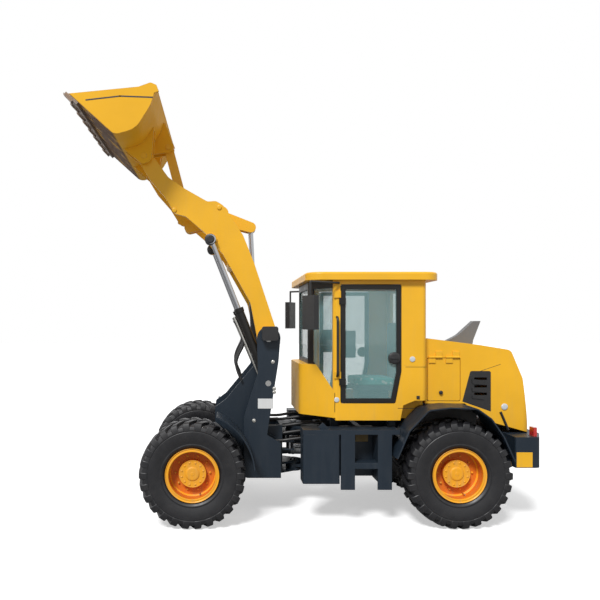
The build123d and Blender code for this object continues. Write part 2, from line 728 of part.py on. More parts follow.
def cab_body():
    """The cab's shell with its floor, its door openings and its window openings."""
    shell = cab_tier(NOSE_FRONT_X, 0, (CAB_BOTTOM, NOSE_TOP)) - nose_cut(0)
    shell += cab_tier(GLASS_FRONT_X, 0, (NOSE_TOP, CAB_TOP))
    room = cab_tier(NOSE_FRONT_X, CAB_WALL, (CAB_BOTTOM + CAB_WALL, NOSE_TOP - CAB_WALL)) - nose_cut(CAB_WALL)
    room += cab_tier(GLASS_FRONT_X, CAB_WALL, (NOSE_TOP - 2 * CAB_WALL, CAB_TOP - CAB_CEILING))
    for side in both(wheel_well(0, (WHEEL_WELL_Y, CAB_HALF_WIDTH + 10))):
        shell -= side
    for side in both(wheel_well(CAB_WALL, (WHEEL_WELL_Y - CAB_WALL, CAB_HALF_WIDTH + 10))):
        room -= side
    shell -= room
    opening = slab(door_outline(DOOR_GAP), (CAB_HALF_WIDTH - 2 * CAB_WALL, CAB_HALF_WIDTH + 10))
    for cutter in (*both(opening), *cab_windows(0)):
        shell -= cutter
    for z in DOOR_HINGES:
        top = z + HINGE_HEIGHT + FACE_GAP
        for knuckle in both(door_knuckle((top, top + HINGE_HEIGHT), 1)):
            shell += knuckle
    return shell


def cab_shells():
    """The cab's shell in three: the tub under the windows, the frame over it, and that frame's front."""
    shell = cab_body()
    wide = (-2 * CAB_HALF_WIDTH, 2 * CAB_HALF_WIDTH)
    over = (NOSE_TOP, CAB_TOP)
    return {
        "cab_tub": shell & box((CAB_REAR_X - 10, NOSE_FRONT_X + 10), wide, (CAB_BOTTOM - 10, NOSE_TOP)),
        "cab_frame": shell & box((CAB_REAR_X - 10, CAB_SEAM_X), wide, over),
        "cab_front": shell & box((CAB_SEAM_X, NOSE_FRONT_X + 10), wide, over),
    }


def cab_glass():
    """The windshield, the two quarter windows and the rear window, each in its opening."""
    z = (CAB_BOTTOM, CAB_TOP)
    skin = cab_tier(GLASS_FRONT_X, GLASS_INSET, z) - cab_tier(GLASS_FRONT_X, GLASS_INSET + GLASS, z)
    return [skin & cutter for cutter in cab_windows(PANE_GAP)]


def cab_roof():
    """The roof, wider and longer than the cab, with rounded corners."""
    roof = box((ROOF_REAR_X, ROOF_FRONT_X), (-ROOF_HALF_WIDTH, ROOF_HALF_WIDTH), (CAB_TOP, CAB_TOP + ROOF_THICKNESS))
    roof = fillet(roof.edges().filter_by(Axis.Z), ROOF_CORNER)
    return fillet(roof.faces().sort_by(Axis.Z)[-1].edges(), ROOF_EDGE)


def door():
    """The left door's frame with its hinge knuckles."""
    leaf = slab(door_outline(0), (CAB_HALF_WIDTH - DOOR_THICKNESS, CAB_HALF_WIDTH)) - door_window(0)
    for z in DOOR_HINGES:
        leaf += door_knuckle((z, z + HINGE_HEIGHT), -1)
    return leaf


def door_knuckle(span, towards):
    """A knuckle on the door's axis with its leaf, to the rear for the door, to the front for the cab."""
    x, y = DOOR_HINGE
    knuckle = bar_z(DOOR_HINGE, HINGE_KNUCKLE, span)
    reach = sorted((x, x + towards * HINGE_LEAF))
    edge = DOOR_FRONT_X if towards < 0 else DOOR_FRONT_X + DOOR_GAP
    seat = sorted((edge, x + towards * HINGE_LEAF))
    knuckle += box(reach, (y - HINGE_KNUCKLE + WELD, y), span)
    return knuckle + box(seat, (CAB_HALF_WIDTH - WELD, y), span)


def door_glass():
    """The left door's pane."""
    outer = CAB_HALF_WIDTH - GLASS_INSET
    pane = across(offset(drawn(door_outline(0)), amount=-DOOR_FRAME - PANE_GAP), (outer - GLASS, outer))
    return pane


def seat():
    """The driver's seat: a base on the floor, a cushion and a backrest."""
    y = (-SEAT_WIDTH / 2, SEAT_WIDTH / 2)
    x = (SEAT_X - SEAT_DEPTH / 2, SEAT_X + SEAT_DEPTH / 2)
    cushion_bottom = SEAT_HEIGHT - CUSHION
    base = box((x[0] + 60, x[1] - 60), (y[0] + 60, y[1] - 60), (CAB_BOTTOM + CAB_WALL, cushion_bottom))
    cushion = fillet(box(x, y, (cushion_bottom, SEAT_HEIGHT)).edges(), 30)
    back = box((x[0] - CUSHION, x[0] - FACE_GAP), y, (cushion_bottom, SEAT_HEIGHT + BACKREST_HEIGHT))
    return [base, cushion, fillet(back.edges(), 30)]


def steering_column():
    """The column from the cab floor with its steering wheel."""
    foot = (COLUMN_FOOT_X, 0, CAB_BOTTOM + CAB_WALL)
    head = (COLUMN_TOP_X, 0, STEERING_WHEEL_Z)
    lean = Vector(*head) - Vector(*foot)
    column = bar(foot, head, COLUMN_RADIUS)
    column -= box((COLUMN_FOOT_X - 200, COLUMN_FOOT_X + 200), (-200, 200), (0, CAB_BOTTOM + CAB_WALL))
    wheel = Plane(origin=head, z_dir=lean)
    column += wheel * Torus(STEERING_WHEEL_RADIUS, STEERING_WHEEL_TUBE)
    column += wheel * Box(2 * STEERING_WHEEL_RADIUS, 40, 16)
    return column


# ---- Hood ----
def hood_profile():
    """The hood's outline from the side, open along its bottom."""
    return [
        (HOOD_REAR_X, COUNTERWEIGHT_TOP, 0), (HOOD_SHOULDER_X, HOOD_SHOULDER_Z, 120),
        (HOOD_TAIL_X, HOOD_TAIL_Z, 70), (HOOD_BREAK_X, HOOD_BREAK_Z, 200),
        (HOOD_FRONT_X, HOOD_FRONT_TOP, 20), (HOOD_FRONT_X, HOOD_SIDE_BOTTOM, 0),
    ]


def hood_plan(inset):
    """An upright prism over the hood's level outline, its rear corners round."""
    y = HOOD_HALF_WIDTH - inset
    outline = [
        (HOOD_FRONT_X + 10, -y, 0), (HOOD_FRONT_X + 10, y, 0),
        (HOOD_REAR_X + inset, y, HOOD_CORNER - inset), (HOOD_REAR_X + inset, -y, HOOD_CORNER - inset),
    ]
    return tier(outline, (0, HOOD_FRONT_TOP + 100))


def hood_opening(margin):
    """The outline of the hood door, grown by a margin."""
    return [
        (HOOD_DOOR_FRONT_X + margin, HOOD_DOOR_BOTTOM - margin, 15),
        (HOOD_DOOR_FRONT_X + margin, HOOD_DOOR_TOP + margin, 15),
        (HOOD_DOOR_REAR_X - margin, HOOD_DOOR_TOP + margin, 15),
        (HOOD_DOOR_REAR_X - margin, HOOD_DOOR_BOTTOM - margin, 15),
    ]


def grille_outline(margin):
    """The outline of the side grille, drawn in by a margin; its front edge slants."""
    return [
        (GRILLE_FRONT_X - margin, GRILLE_BOTTOM + margin, 0),
        (GRILLE_FRONT_X - GRILLE_SLANT - margin, GRILLE_TOP - margin, 20),
        (GRILLE_REAR_X + margin, GRILLE_TOP - margin, 20), (GRILLE_REAR_X + margin, GRILLE_REAR_BOTTOM + margin, 0),
    ]


def hood():
    """The hood's sheet, open below, with its door and grille openings."""
    full = (-HOOD_HALF_WIDTH, HOOD_HALF_WIDTH)
    sheet = slab(hood_profile(), full) & hood_plan(0)
    sheet -= across(drawn_in(hood_profile(), HOOD_WALL), full) & hood_plan(HOOD_WALL)
    below = [
        (HOOD_FRONT_X + 100, HOOD_SIDE_BOTTOM, 0), (HOOD_ARCH_X, HOOD_SIDE_BOTTOM, 0),
        (HOOD_ARCH_REAR_X, HOOD_ARCH_REAR_Z, 0), (HOOD_SEAM_X, COUNTERWEIGHT_TOP, 0),
        (HOOD_SEAM_X, COUNTERWEIGHT_TOP - 200, 0),
        (HOOD_FRONT_X + 100, COUNTERWEIGHT_TOP - 200, 0),
    ]
    sheet -= slab(below, (full[0] - 10, full[1] + 10))
    sides = (HOOD_HALF_WIDTH - 2 * HOOD_WALL, HOOD_HALF_WIDTH + 10)
    door_cutters = both(slab(hood_opening(DOOR_GAP), sides))
    grille_cutters = both(slab(grille_outline(0), sides))
    for cutter in (*door_cutters, *grille_cutters, rear_grille_cutter(0)):
        sheet -= cutter
    for x in HOOD_HINGES:
        start = x - HINGE_HEIGHT - FACE_GAP
        for knuckle in both(hood_knuckle((start, start + HINGE_HEIGHT), 1)):
            sheet += knuckle
    return sheet


def rear_grille_cutter(margin):
    """A block through the hood's rear face over its grille."""
    y = REAR_GRILLE_HALF_WIDTH - margin
    z = (REAR_GRILLE_BOTTOM + margin, REAR_GRILLE_TOP - margin)
    return box((HOOD_REAR_X - 100, HOOD_SHOULDER_X + 150), (-y, y), z)


def hood_door():
    """The left hood door with the knuckles along its top edge."""
    leaf = slab(hood_opening(0), (HOOD_HALF_WIDTH - HOOD_WALL, HOOD_HALF_WIDTH))
    for x in HOOD_HINGES:
        leaf += hood_knuckle((x, x + HINGE_HEIGHT), -1)
    return leaf


def hood_knuckle(span, towards):
    """A knuckle on the hood door's axis with its leaf, downwards for the door, upwards for the hood."""
    y, z = HOOD_DOOR_HINGE
    knuckle = Pos(sum(span) / 2, y, z) * Rot(0, 90, 0) * Cylinder(HINGE_KNUCKLE, HINGE_HEIGHT)
    edge = HOOD_DOOR_TOP if towards < 0 else HOOD_DOOR_TOP + DOOR_GAP
    knuckle += box(span, (y - HINGE_KNUCKLE + WELD, y), sorted((z, z + towards * HINGE_LEAF)))
    return knuckle + box(span, (HOOD_HALF_WIDTH - WELD, y), sorted((edge, z + towards * HINGE_LEAF)))


def side_grille():
    """The left side grille with its slots."""
    face = (HOOD_HALF_WIDTH - HOOD_WALL, HOOD_HALF_WIDTH)
    panel = slab(grille_outline(PANE_GAP), face)
    pitch = (GRILLE_TOP - GRILLE_BOTTOM) / (GRILLE_SLOTS + 1)
    for slot in range(GRILLE_SLOTS):
        z = GRILLE_BOTTOM + pitch * (slot + 1)
        x = GRILLE_FRONT_X - GRILLE_SLANT - 40
        panel -= box((GRILLE_REAR_X + 40, x), face, (z - GRILLE_SLOT / 2, z + GRILLE_SLOT / 2))
    return panel


def rear_grille():
    """The grille in the hood's rear face."""
    full = (-HOOD_HALF_WIDTH, HOOD_HALF_WIDTH)
    sheet = slab(hood_profile(), full) - across(drawn_in(hood_profile(), HOOD_WALL), full)
    return sheet & rear_grille_cutter(PANE_GAP)


def exhaust():
    """The exhaust fin on the hood, leaning to the rear."""
    def hood_height(x):
        share = (x - HOOD_FRONT_X) / (HOOD_BREAK_X - HOOD_FRONT_X)
        return HOOD_FRONT_TOP + share * (HOOD_BREAK_Z - HOOD_FRONT_TOP)

    middle = HOOD_BREAK_X + 60
    rear_z = HOOD_BREAK_Z + (EXHAUST_REAR_X - HOOD_BREAK_X) * (HOOD_TAIL_Z - HOOD_BREAK_Z) / (HOOD_TAIL_X - HOOD_BREAK_X)
    corners = [
        (EXHAUST_FRONT_X, hood_height(EXHAUST_FRONT_X) + 6, 0), (middle - 40, hood_height(middle) + 90, 160),
        (EXHAUST_TIP_X + EXHAUST_TIP_LENGTH, EXHAUST_TIP_Z, 0), (EXHAUST_TIP_X, EXHAUST_TIP_Z, 0),
        (EXHAUST_REAR_X - 10, rear_z + 60, 60), (EXHAUST_REAR_X, rear_z, 0), (EXHAUST_FRONT_X, HOOD_BREAK_Z - 40, 0),
    ]
    fin = slab(corners, (-EXHAUST_WIDTH / 2, EXHAUST_WIDTH / 2))
    return fin - slab(hood_profile(), (-HOOD_HALF_WIDTH, HOOD_HALF_WIDTH))


# ---- Front frame ----
def front_frame():
    """The front frame's box with the two forks of the articulation."""
    side = [
        (FRONT_REAR_X, FRONT_BOTTOM, 0), (FRONT_REAR_X + 470, FRONT_BOTTOM, 40),
        (FRONT_REAR_X + 550, FRONT_AXLE_SEAT, 40), (FRONT_NOSE_X, FRONT_AXLE_SEAT, 30),
        (FRONT_NOSE_X, FRONT_AXLE_SEAT + 60, 0), (FRONT_NOSE_X - 150, FRONT_TOP, 60),
        (FRONT_REAR_X + 550, FRONT_TOP + 40, 0), (FRONT_REAR_X, FRONT_TOP + 80, 0),
    ]
    inner = FRONT_SIDE_Y - FRONT_PLATE
    frame = Part()
    for plate in both(slab(side, (inner, FRONT_SIDE_Y))):
        frame += plate
    reach = (-inner - WELD, inner + WELD)
    wall = (FRONT_REAR_X, FRONT_REAR_X + FORK_PLATE)
    frame += box(wall, reach, (FRONT_BOTTOM, FRONT_TOP + 80))
    frame += box((FRONT_REAR_X, FRONT_NOSE_X - 150), reach, (FRONT_TOP - FORK_PLATE, FRONT_TOP))
    frame += box((FRONT_REAR_X, FRONT_REAR_X + 450), reach, (FRONT_BOTTOM, FRONT_BOTTOM + FORK_PLATE))
    frame += box((FRONT_NOSE_X - FORK_PLATE, FRONT_NOSE_X), reach, (FRONT_AXLE_SEAT + 15, FRONT_AXLE_SEAT + 60))
    frame -= bar((wall[0] - 1, 0, SHAFT_Z), (wall[1] + 1, 0, SHAFT_Z), SHAFT_HOLE_RADIUS)
    for z in (LOWER_HINGE_Z, UPPER_HINGE_Z):
        gap = HINGE_BOSS_HEIGHT / 2 + FACE_GAP
        for plate in ((z - gap - FORK_PLATE, z - gap), (z + gap, z + gap + FORK_PLATE)):
            frame += hinge_lug(FRONT_REAR_X + WELD, FORK_RADIUS, HINGE_ROOT_HALF_WIDTH, plate)
            frame -= bar_z((0, 0), HINGE_PIN_RADIUS + BORE_GAP, plate)
    for side in (-1, 1):
        y = side * STEER_FRONT_Y
        for z in steer_lug_heights():
            lug_y = (y - STEER_EYE_RADIUS, y + STEER_EYE_RADIUS)
            frame += box((STEER_FRONT_X - STEER_EYE_RADIUS, FRONT_REAR_X + WELD), lug_y, z)
    return frame


def articulation_pins():
    """The two upright pins between the frames."""
    reach = HINGE_BOSS_HEIGHT / 2 + FACE_GAP + FORK_PLATE + HINGE_PIN_OVERHANG
    return [bar_z((0, 0), HINGE_PIN_RADIUS, (z - reach, z + reach)) for z in (LOWER_HINGE_Z, UPPER_HINGE_Z)]


def tower_head(corners, span):
    """A tower plate with a round head about the boom's root pin and bores for both pins."""
    plate = slab(corners, span) + bar_y(BOOM_PIN, TOWER_HEAD_RADIUS, span)
    plate -= bar_y(BOOM_PIN, ROOT_PIN_RADIUS + BORE_GAP, span)
    return plate - bar_y(LIFT_BASE, PIVOT_PIN_RADIUS + BORE_GAP, span)


def tower_plates():
    """The inner and outer plates of both towers, with the webs between them."""
    x, z = BOOM_PIN
    rear = x - TOWER_HEAD_RADIUS
    front = x + TOWER_HEAD_RADIUS
    foot = TOWER_REAR_X
    outer_corners = [
        (foot, FRONT_BOTTOM, 0), (TOWER_FOOT_FRONT_X, FRONT_BOTTOM, 40), (TOWER_FOOT_FRONT_X, 1063, 60),
        (430, 1530, 100), (front, z - 60, 0), (front, z, 0), (rear, z, 0), (rear + 20, z - 250, 200),
        (foot + 148, 871, 20), (foot, 786, 10),
    ]
    inner_corners = [
        (foot, FRONT_BOTTOM, 0), (TOWER_FOOT_FRONT_X, FRONT_BOTTOM, 40), (TOWER_FOOT_FRONT_X + 60, FRONT_AXLE_SEAT, 40),
        (880, FRONT_AXLE_SEAT, 40), (889, 1143, 40), (769, 1230, 100), (462, 1600, 120), (front, z - 60, 0),
        (front, z, 0), (rear, z, 0), (rear + 20, z - 250, 200), (foot + 148, 871, 20), (foot, 786, 10),
    ]
    tower = tower_head(inner_corners, (FRONT_SIDE_Y, INNER_TOWER_Y))
    tower += tower_head(outer_corners, (TOWER_INNER_FACE, TOWER_OUTER_Y))
    web_y = (INNER_TOWER_Y - WELD, TOWER_INNER_FACE + WELD)
    tower += box((foot, foot + TOWER_WEB), web_y, (FRONT_BOTTOM, 780))
    tower += box((foot, TOWER_FOOT_FRONT_X - 20), web_y, (FRONT_BOTTOM, FRONT_BOTTOM + TOWER_WEB))
    tower += box((foot + 148, foot + 148 + TOWER_WEB), web_y, (760, 1000))
    return tower


def tower_pins():
    """The towers' pins, for the boom's root and for the lift cylinders' bases."""
    span = (FRONT_SIDE_Y, TOWER_OUTER_Y)
    return [*both(bar_y(BOOM_PIN, ROOT_PIN_RADIUS, span)), *both(bar_y(LIFT_BASE, PIVOT_PIN_RADIUS, span))]


def tilt_mount():
    """The cross beam between the towers with the two lugs of the tilt cylinder's base."""
    mount = bar_y(TILT_BEAM, TILT_BEAM_RADIUS, (-FRONT_SIDE_Y, FRONT_SIDE_Y))
    inner = CRANK_PLATE_INNER + FACE_GAP
    lug = strap(TILT_BASE, TILT_EYE_RADIUS, TILT_BEAM, TILT_BEAM_RADIUS + 8, (inner, inner + TILT_LUG))
    lug -= bar_y(TILT_BASE, PIVOT_PIN_RADIUS + BORE_GAP, (inner, inner + TILT_LUG))
    for side in both(lug):
        mount += side
    return mount


def front_fender():
    """The left front fender, an arc of sheet behind the wheel, against the tower's outside."""
    centre = (FRONT_AXLE_X, AXLE_Z)
    span = (TOWER_OUTER_Y, FRONT_FENDER_OUTER_Y)
    ring = bar_y(centre, FRONT_FENDER_RADIUS + FENDER_THICKNESS, span) - bar_y(centre, FRONT_FENDER_RADIUS, span)
    start = swung(centre, (2 * FRONT_FENDER_RADIUS, FRONT_FENDER_START))
    end = swung(centre, (2 * FRONT_FENDER_RADIUS, FRONT_FENDER_END))
    return ring & slab([(*centre, 0), (*start, 0), (*end, 0)], span)


def headlamp():
    """The left headlamp's housing on the tower's outside."""
    x = (HEADLAMP_X - HEADLAMP_LENGTH / 2, HEADLAMP_X + HEADLAMP_LENGTH / 2)
    z = (HEADLAMP_Z - HEADLAMP_HEIGHT / 2, HEADLAMP_Z + HEADLAMP_HEIGHT / 2)
    housing = box(x, (TOWER_OUTER_Y, TOWER_OUTER_Y + HEADLAMP_WIDTH), z)
    return fillet(housing.edges().filter_by(Axis.Y), 25)


# ---- Boom ----
def boom_arm():
    """The left boom arm, a plate from the root pin over the crank's knee to the bucket pin."""
    root_x, root_z = BOOM_PIN
    knee_x, knee_z = CRANK_PIN
    tip_x, tip_z = BUCKET_PIN
    corners = [
        (root_x - BOOM_ROOT_RADIUS, root_z, 0), (knee_x - 354, knee_z - 542, 200), (knee_x - 235, knee_z - 245, 200),
        (knee_x - 19, knee_z + 80, 150), (knee_x + 60, knee_z + 125, 60), (knee_x + 150, knee_z + 118, 60),
        (tip_x - 432, tip_z - 343, 100), (tip_x - 257, tip_z - 222, 100), (tip_x - 66, tip_z + 45, 0),
        (tip_x + 66, tip_z - 45, 0), (tip_x - 60, tip_z - 255, 80), (tip_x - 215, tip_z - 430, 120),
        (knee_x + 500, knee_z - 15, 80), (knee_x + 386, knee_z - 42, 60), (knee_x + 180, knee_z - 219, 200),
        (knee_x - 19, knee_z - 454, 200), (knee_x - 203, knee_z - 778, 300), (root_x + 190, root_z + 382, 200),
        (root_x + BOOM_ROOT_RADIUS, root_z, 0),
    ]
    span = (BOOM_INNER_Y, BOOM_OUTER_Y)
    arm = slab(corners, span)
    arm += bar_y(BOOM_PIN, BOOM_ROOT_RADIUS, span)
    arm += bar_y(BUCKET_PIN, BOOM_TIP_RADIUS, span)
    root_hub = (INNER_TOWER_Y + 6, TOWER_INNER_FACE - 6)
    arm += bar_y(BOOM_PIN, ROOT_HUB_RADIUS, root_hub)
    arm -= bar_y(BOOM_PIN, ROOT_PIN_RADIUS + BORE_GAP, root_hub)
    tip_hub = (BOOM_INNER_Y - 30, BOOM_OUTER_Y + 30)
    arm += bar_y(BUCKET_PIN, BOOM_TIP_RADIUS - 8, tip_hub)
    arm -= bar_y(BUCKET_PIN, BUCKET_PIN_RADIUS + BORE_GAP, tip_hub)
    eye_boss = (BOOM_OUTER_Y - WELD, LIFT_Y - LIFT_EYE_WIDTH / 2 - FACE_GAP)
    return arm + bar_y(LIFT_EYE, LIFT_EYE_RADIUS + 15, eye_boss)


def boom_tubes():
    """The cross tube between the arms and the two stubs that carry the crank's pin."""
    tube = bar_y(CROSS_TUBE, CROSS_TUBE_RADIUS, (-BOOM_INNER_Y, BOOM_INNER_Y))
    stub = bar_y(CRANK_PIN, CRANK_STUB_RADIUS, (CRANK_STUB_Y, BOOM_INNER_Y))
    stub -= bar_y(CRANK_PIN, PIVOT_PIN_RADIUS + BORE_GAP, (CRANK_STUB_Y, BOOM_INNER_Y - 60))
    return [tube, *both(stub)]


def crank():
    """The crank: a hub and two plates, each with an arm to the cylinder and one to the link."""
    reach = CRANK_STUB_Y - FACE_GAP
    part = bar_y(CRANK_PIN, CRANK_HUB_RADIUS, (-reach, reach))
    span = (CRANK_PLATE_INNER, CRANK_PLATE_INNER + CRANK_PLATE)
    plate = strap(CRANK_PIN, CRANK_HUB_RADIUS, TILT_EYE, CRANK_ARM_RADIUS, span)
    plate += strap(CRANK_PIN, CRANK_HUB_RADIUS, LINK_PIN, CRANK_ARM_RADIUS, span)
    for side in both(plate):
        part += side
    return part - bar_y(CRANK_PIN, PIVOT_PIN_RADIUS + BORE_GAP, (-reach, reach))


def crank_pin():
    """The pin that carries the crank in the boom's stubs."""
    reach = CRANK_STUB_Y + 120
    return bar_y(CRANK_PIN, PIVOT_PIN_RADIUS, (-reach, reach))


def link():
    """The link from the bucket's middle ears to its end between the crank's plates."""
    reach = CRANK_PLATE_INNER - FACE_GAP
    bar_plate = strap(LINK_PIN, LINK_RADIUS, LINK_END, LINK_RADIUS, (-reach, reach))
    return bar_plate - bar_y(LINK_END, PIVOT_PIN_RADIUS + BORE_GAP, (-reach, reach))


def link_pin():
    """The pin of the bucket's middle ears, which carries the link."""
    reach = CRANK_PLATE_INNER + BUCKET_EAR + 6
    return bar_y(LINK_END, PIVOT_PIN_RADIUS, (-reach, reach))


# ---- Bucket ----
def on_boom(shape):
    """A bucket piece drawn along its floor from the bucket pin, brought to the raised boom."""
    return Pos(BUCKET_PIN[0], 0, BUCKET_PIN[1]) * Rot(0, -BUCKET_ANGLE, 0) * shape


def bucket_profile():
    """The bucket's outline from the tip of its floor round its back to its upper lip."""
    x, z = BUCKET_HEEL
    lip = (x + BUCKET_LIP_SETBACK, z + BUCKET_LIP_HEIGHT, 0)
    return [
        (x + BUCKET_FLOOR, z, 0), (x - 30, z, 110), (x - 150, z + 190, 220),
        (x - 100, z + 470, 260), lip,
    ]


def ear(place, radius, foot_low, foot_high, span):
    """A bucket ear with its round end about a pin place and its foot on the bucket's back."""
    low_x, low_z = foot_low
    high_x, high_z = foot_high
    rounds = [Pos(*place) * Circle(radius), Pos(low_x, low_z) * Circle(25), Pos(high_x, high_z) * Circle(25)]
    return across(make_hull([edge for ring in rounds for edge in ring.edges()]), span)


def bucket_guard():
    """The left side plate's raised corner at the upper lip."""
    x = BUCKET_HEEL[0] + BUCKET_LIP_SETBACK
    z = BUCKET_HEEL[1] + BUCKET_LIP_HEIGHT
    rise = BUCKET_GUARD_HEIGHT
    corners = [
        (x - 60, z - 30, 0), (x, z, 8), (x + 60, z - 20, 40), (x + rise, z - 190, 60), (x + 110, z - 330, 0),
    ]
    return slab(corners, (BUCKET_HALF_WIDTH - BUCKET_SIDE, BUCKET_HALF_WIDTH))


def bucket():
    """The bucket's sheet with its side plates and the ears of its three pins."""
    width = BUCKET_HALF_WIDTH
    profile = bucket_profile()
    room = across(drawn_in(profile, BUCKET_SHEET), (-width, width))
    body = slab(profile, (-width, width))
    cavity = room & box((-2000, 2000), (BUCKET_SIDE - width, width - BUCKET_SIDE), (-2000, 2000))
    body -= cavity
    for side in both(bucket_guard()):
        body += side
    x, z = BUCKET_HEEL
    inner_y = BOOM_INNER_Y - 30 - FACE_GAP
    outer_y = BOOM_OUTER_Y + 30 + FACE_GAP
    ears = Part()
    for span in ((inner_y - BUCKET_EAR, inner_y), (outer_y, outer_y + BUCKET_EAR)):
        plate = ear((0, 0), BUCKET_EAR_RADIUS, (x + 20, z + 40), (x - 105, z + 380), span)
        ears += plate - bar_y((0, 0), BUCKET_PIN_RADIUS + BORE_GAP, span)
    centre_span = (CRANK_PLATE_INNER, CRANK_PLATE_INNER + BUCKET_EAR)
    plate = ear(LINK_ON_BUCKET, LINK_RADIUS + 8, (x - 90, z + 150), (x - 60, z + 560), centre_span)
    ears += plate - bar_y(LINK_ON_BUCKET, PIVOT_PIN_RADIUS + BORE_GAP, centre_span)
    for side in both(ears):
        body += side - room
    return on_boom(body)


def bucket_edge():
    """The cutting edge under the floor's tip and the row of teeth on it."""
    x = BUCKET_HEEL[0] + BUCKET_FLOOR
    z = BUCKET_HEEL[1]
    width = BUCKET_HALF_WIDTH
    edge_tip = x + EDGE_OVERHANG
    pieces = [box((edge_tip - EDGE_LENGTH, edge_tip), (-width, width), (z - EDGE_THICKNESS, z))]
    tooth_rear = edge_tip + TOOTH_REACH - TOOTH_LENGTH
    low = z - EDGE_THICKNESS
    tooth = [
        (tooth_rear, low, 0), (tooth_rear, low - TOOTH_HEIGHT, 0),
        (edge_tip, low - 0.7 * TOOTH_HEIGHT, 0), (edge_tip + TOOTH_REACH, low, 0),
    ]
    pitch = (2 * width - TOOTH_WIDTH) / (TOOTH_COUNT - 1)
    for number in range(TOOTH_COUNT):
        y = TOOTH_WIDTH / 2 - width + pitch * number
        pieces.append(slab(tooth, (y - TOOTH_WIDTH / 2, y + TOOTH_WIDTH / 2)))
    return [on_boom(piece) for piece in pieces]


def bucket_pins():
    """The pins of the bucket's outer ears, one in the end of each arm."""
    gap = 30 + FACE_GAP + BUCKET_EAR
    return both(bar_y(BUCKET_PIN, BUCKET_PIN_RADIUS, (BOOM_INNER_Y - gap, BOOM_OUTER_Y + gap)))


# ---- Cylinders ----
def barrel(base, eye, pin_axis, sizes):
    """A cylinder's barrel from its base pin towards the rod's eye, its bore open at the far end."""
    radius, start, bottom, length, rod_radius, eye_radius, eye_width, pin_radius = sizes
    half = eye_width / 2
    body = bar((0, 0, start), (0, 0, length), radius)
    body += bar((0, 0, length - GLAND_LENGTH), (0, 0, length), radius + GLAND_LIP)
    body += box((-half, half), (WELD - eye_radius, eye_radius - WELD), (0, start + WELD))
    body += Rot(0, 90, 0) * Cylinder(eye_radius, eye_width)
    body -= Rot(0, 90, 0) * Cylinder(pin_radius + BORE_GAP, eye_width)
    body -= bar((0, 0, bottom), (0, 0, length), rod_radius + BORE_GAP)
    return Plane(origin=base, x_dir=pin_axis, z_dir=Vector(*eye) - Vector(*base)).location * body


def rod(base, eye, pin_axis, sizes):
    """A cylinder's rod from its closed eye towards the base pin."""
    radius, length, eye_radius, eye_width = sizes
    body = bar((0, 0, 0), (0, 0, length), radius) + Rot(0, 90, 0) * Cylinder(eye_radius, eye_width)
    return Plane(origin=eye, x_dir=pin_axis, z_dir=Vector(*base) - Vector(*eye)).location * body


def at_side(place, y):
    """A place in the X-Z plane, moved to a lateral place."""
    return (place[0], y, place[1])


def lift_barrel():
    """The left lift cylinder's barrel."""
    sizes = (
        LIFT_BARREL_RADIUS, LIFT_BARREL_START, LIFT_BORE_BOTTOM, LIFT_BARREL_LENGTH, LIFT_ROD_RADIUS,
        LIFT_EYE_RADIUS, 2 * LIFT_BARREL_RADIUS, PIVOT_PIN_RADIUS,
    )
    return barrel(at_side(LIFT_BASE, LIFT_Y), at_side(LIFT_EYE, LIFT_Y), (0, 1, 0), sizes)


def lift_rod():
    """The left lift cylinder's rod."""
    sizes = (LIFT_ROD_RADIUS, LIFT_ROD_LENGTH, LIFT_EYE_RADIUS, LIFT_EYE_WIDTH)
    return rod(at_side(LIFT_BASE, LIFT_Y), at_side(LIFT_EYE, LIFT_Y), (0, 1, 0), sizes)


def tilt_barrel():
    """The tilt cylinder's barrel."""
    sizes = (
        TILT_BARREL_RADIUS, TILT_BARREL_START, TILT_BORE_BOTTOM, TILT_BARREL_LENGTH, TILT_ROD_RADIUS,
        TILT_EYE_RADIUS, 2 * CRANK_PLATE_INNER, PIVOT_PIN_RADIUS,
    )
    return barrel(at_side(TILT_BASE, 0), at_side(TILT_EYE, 0), (0, 1, 0), sizes)


def tilt_rod():
    """The tilt cylinder's rod, its eye between the crank's plates."""
    sizes = (TILT_ROD_RADIUS, TILT_ROD_LENGTH, TILT_EYE_RADIUS, 2 * (CRANK_PLATE_INNER - FACE_GAP))
    return rod(at_side(TILT_BASE, 0), at_side(TILT_EYE, 0), (0, 1, 0), sizes)


def tilt_pin():
    """The pin at the tilt cylinder's base."""
    reach = CRANK_PLATE_INNER + TILT_LUG + 6
    return bar_y(TILT_BASE, PIVOT_PIN_RADIUS, (-reach, reach))


def steer_barrel(side):
    """A steering cylinder's barrel on one side."""
    base = (STEER_REAR_X, side * STEER_REAR_Y, STEER_Z)
    eye = (STEER_FRONT_X, side * STEER_FRONT_Y, STEER_Z)
    sizes = (
        STEER_BARREL_RADIUS, STEER_BARREL_START, STEER_BORE_BOTTOM, STEER_BARREL_LENGTH, STEER_ROD_RADIUS,
        STEER_EYE_RADIUS, STEER_EYE_WIDTH, STEER_PIN_RADIUS,
    )
    return barrel(base, eye, (0, 0, 1), sizes)


def steer_rod(side):
    """A steering cylinder's rod on one side."""
    base = (STEER_REAR_X, side * STEER_REAR_Y, STEER_Z)
    eye = (STEER_FRONT_X, side * STEER_FRONT_Y, STEER_Z)
    return rod(base, eye, (0, 0, 1), (STEER_ROD_RADIUS, STEER_ROD_LENGTH, STEER_EYE_RADIUS, STEER_EYE_WIDTH))


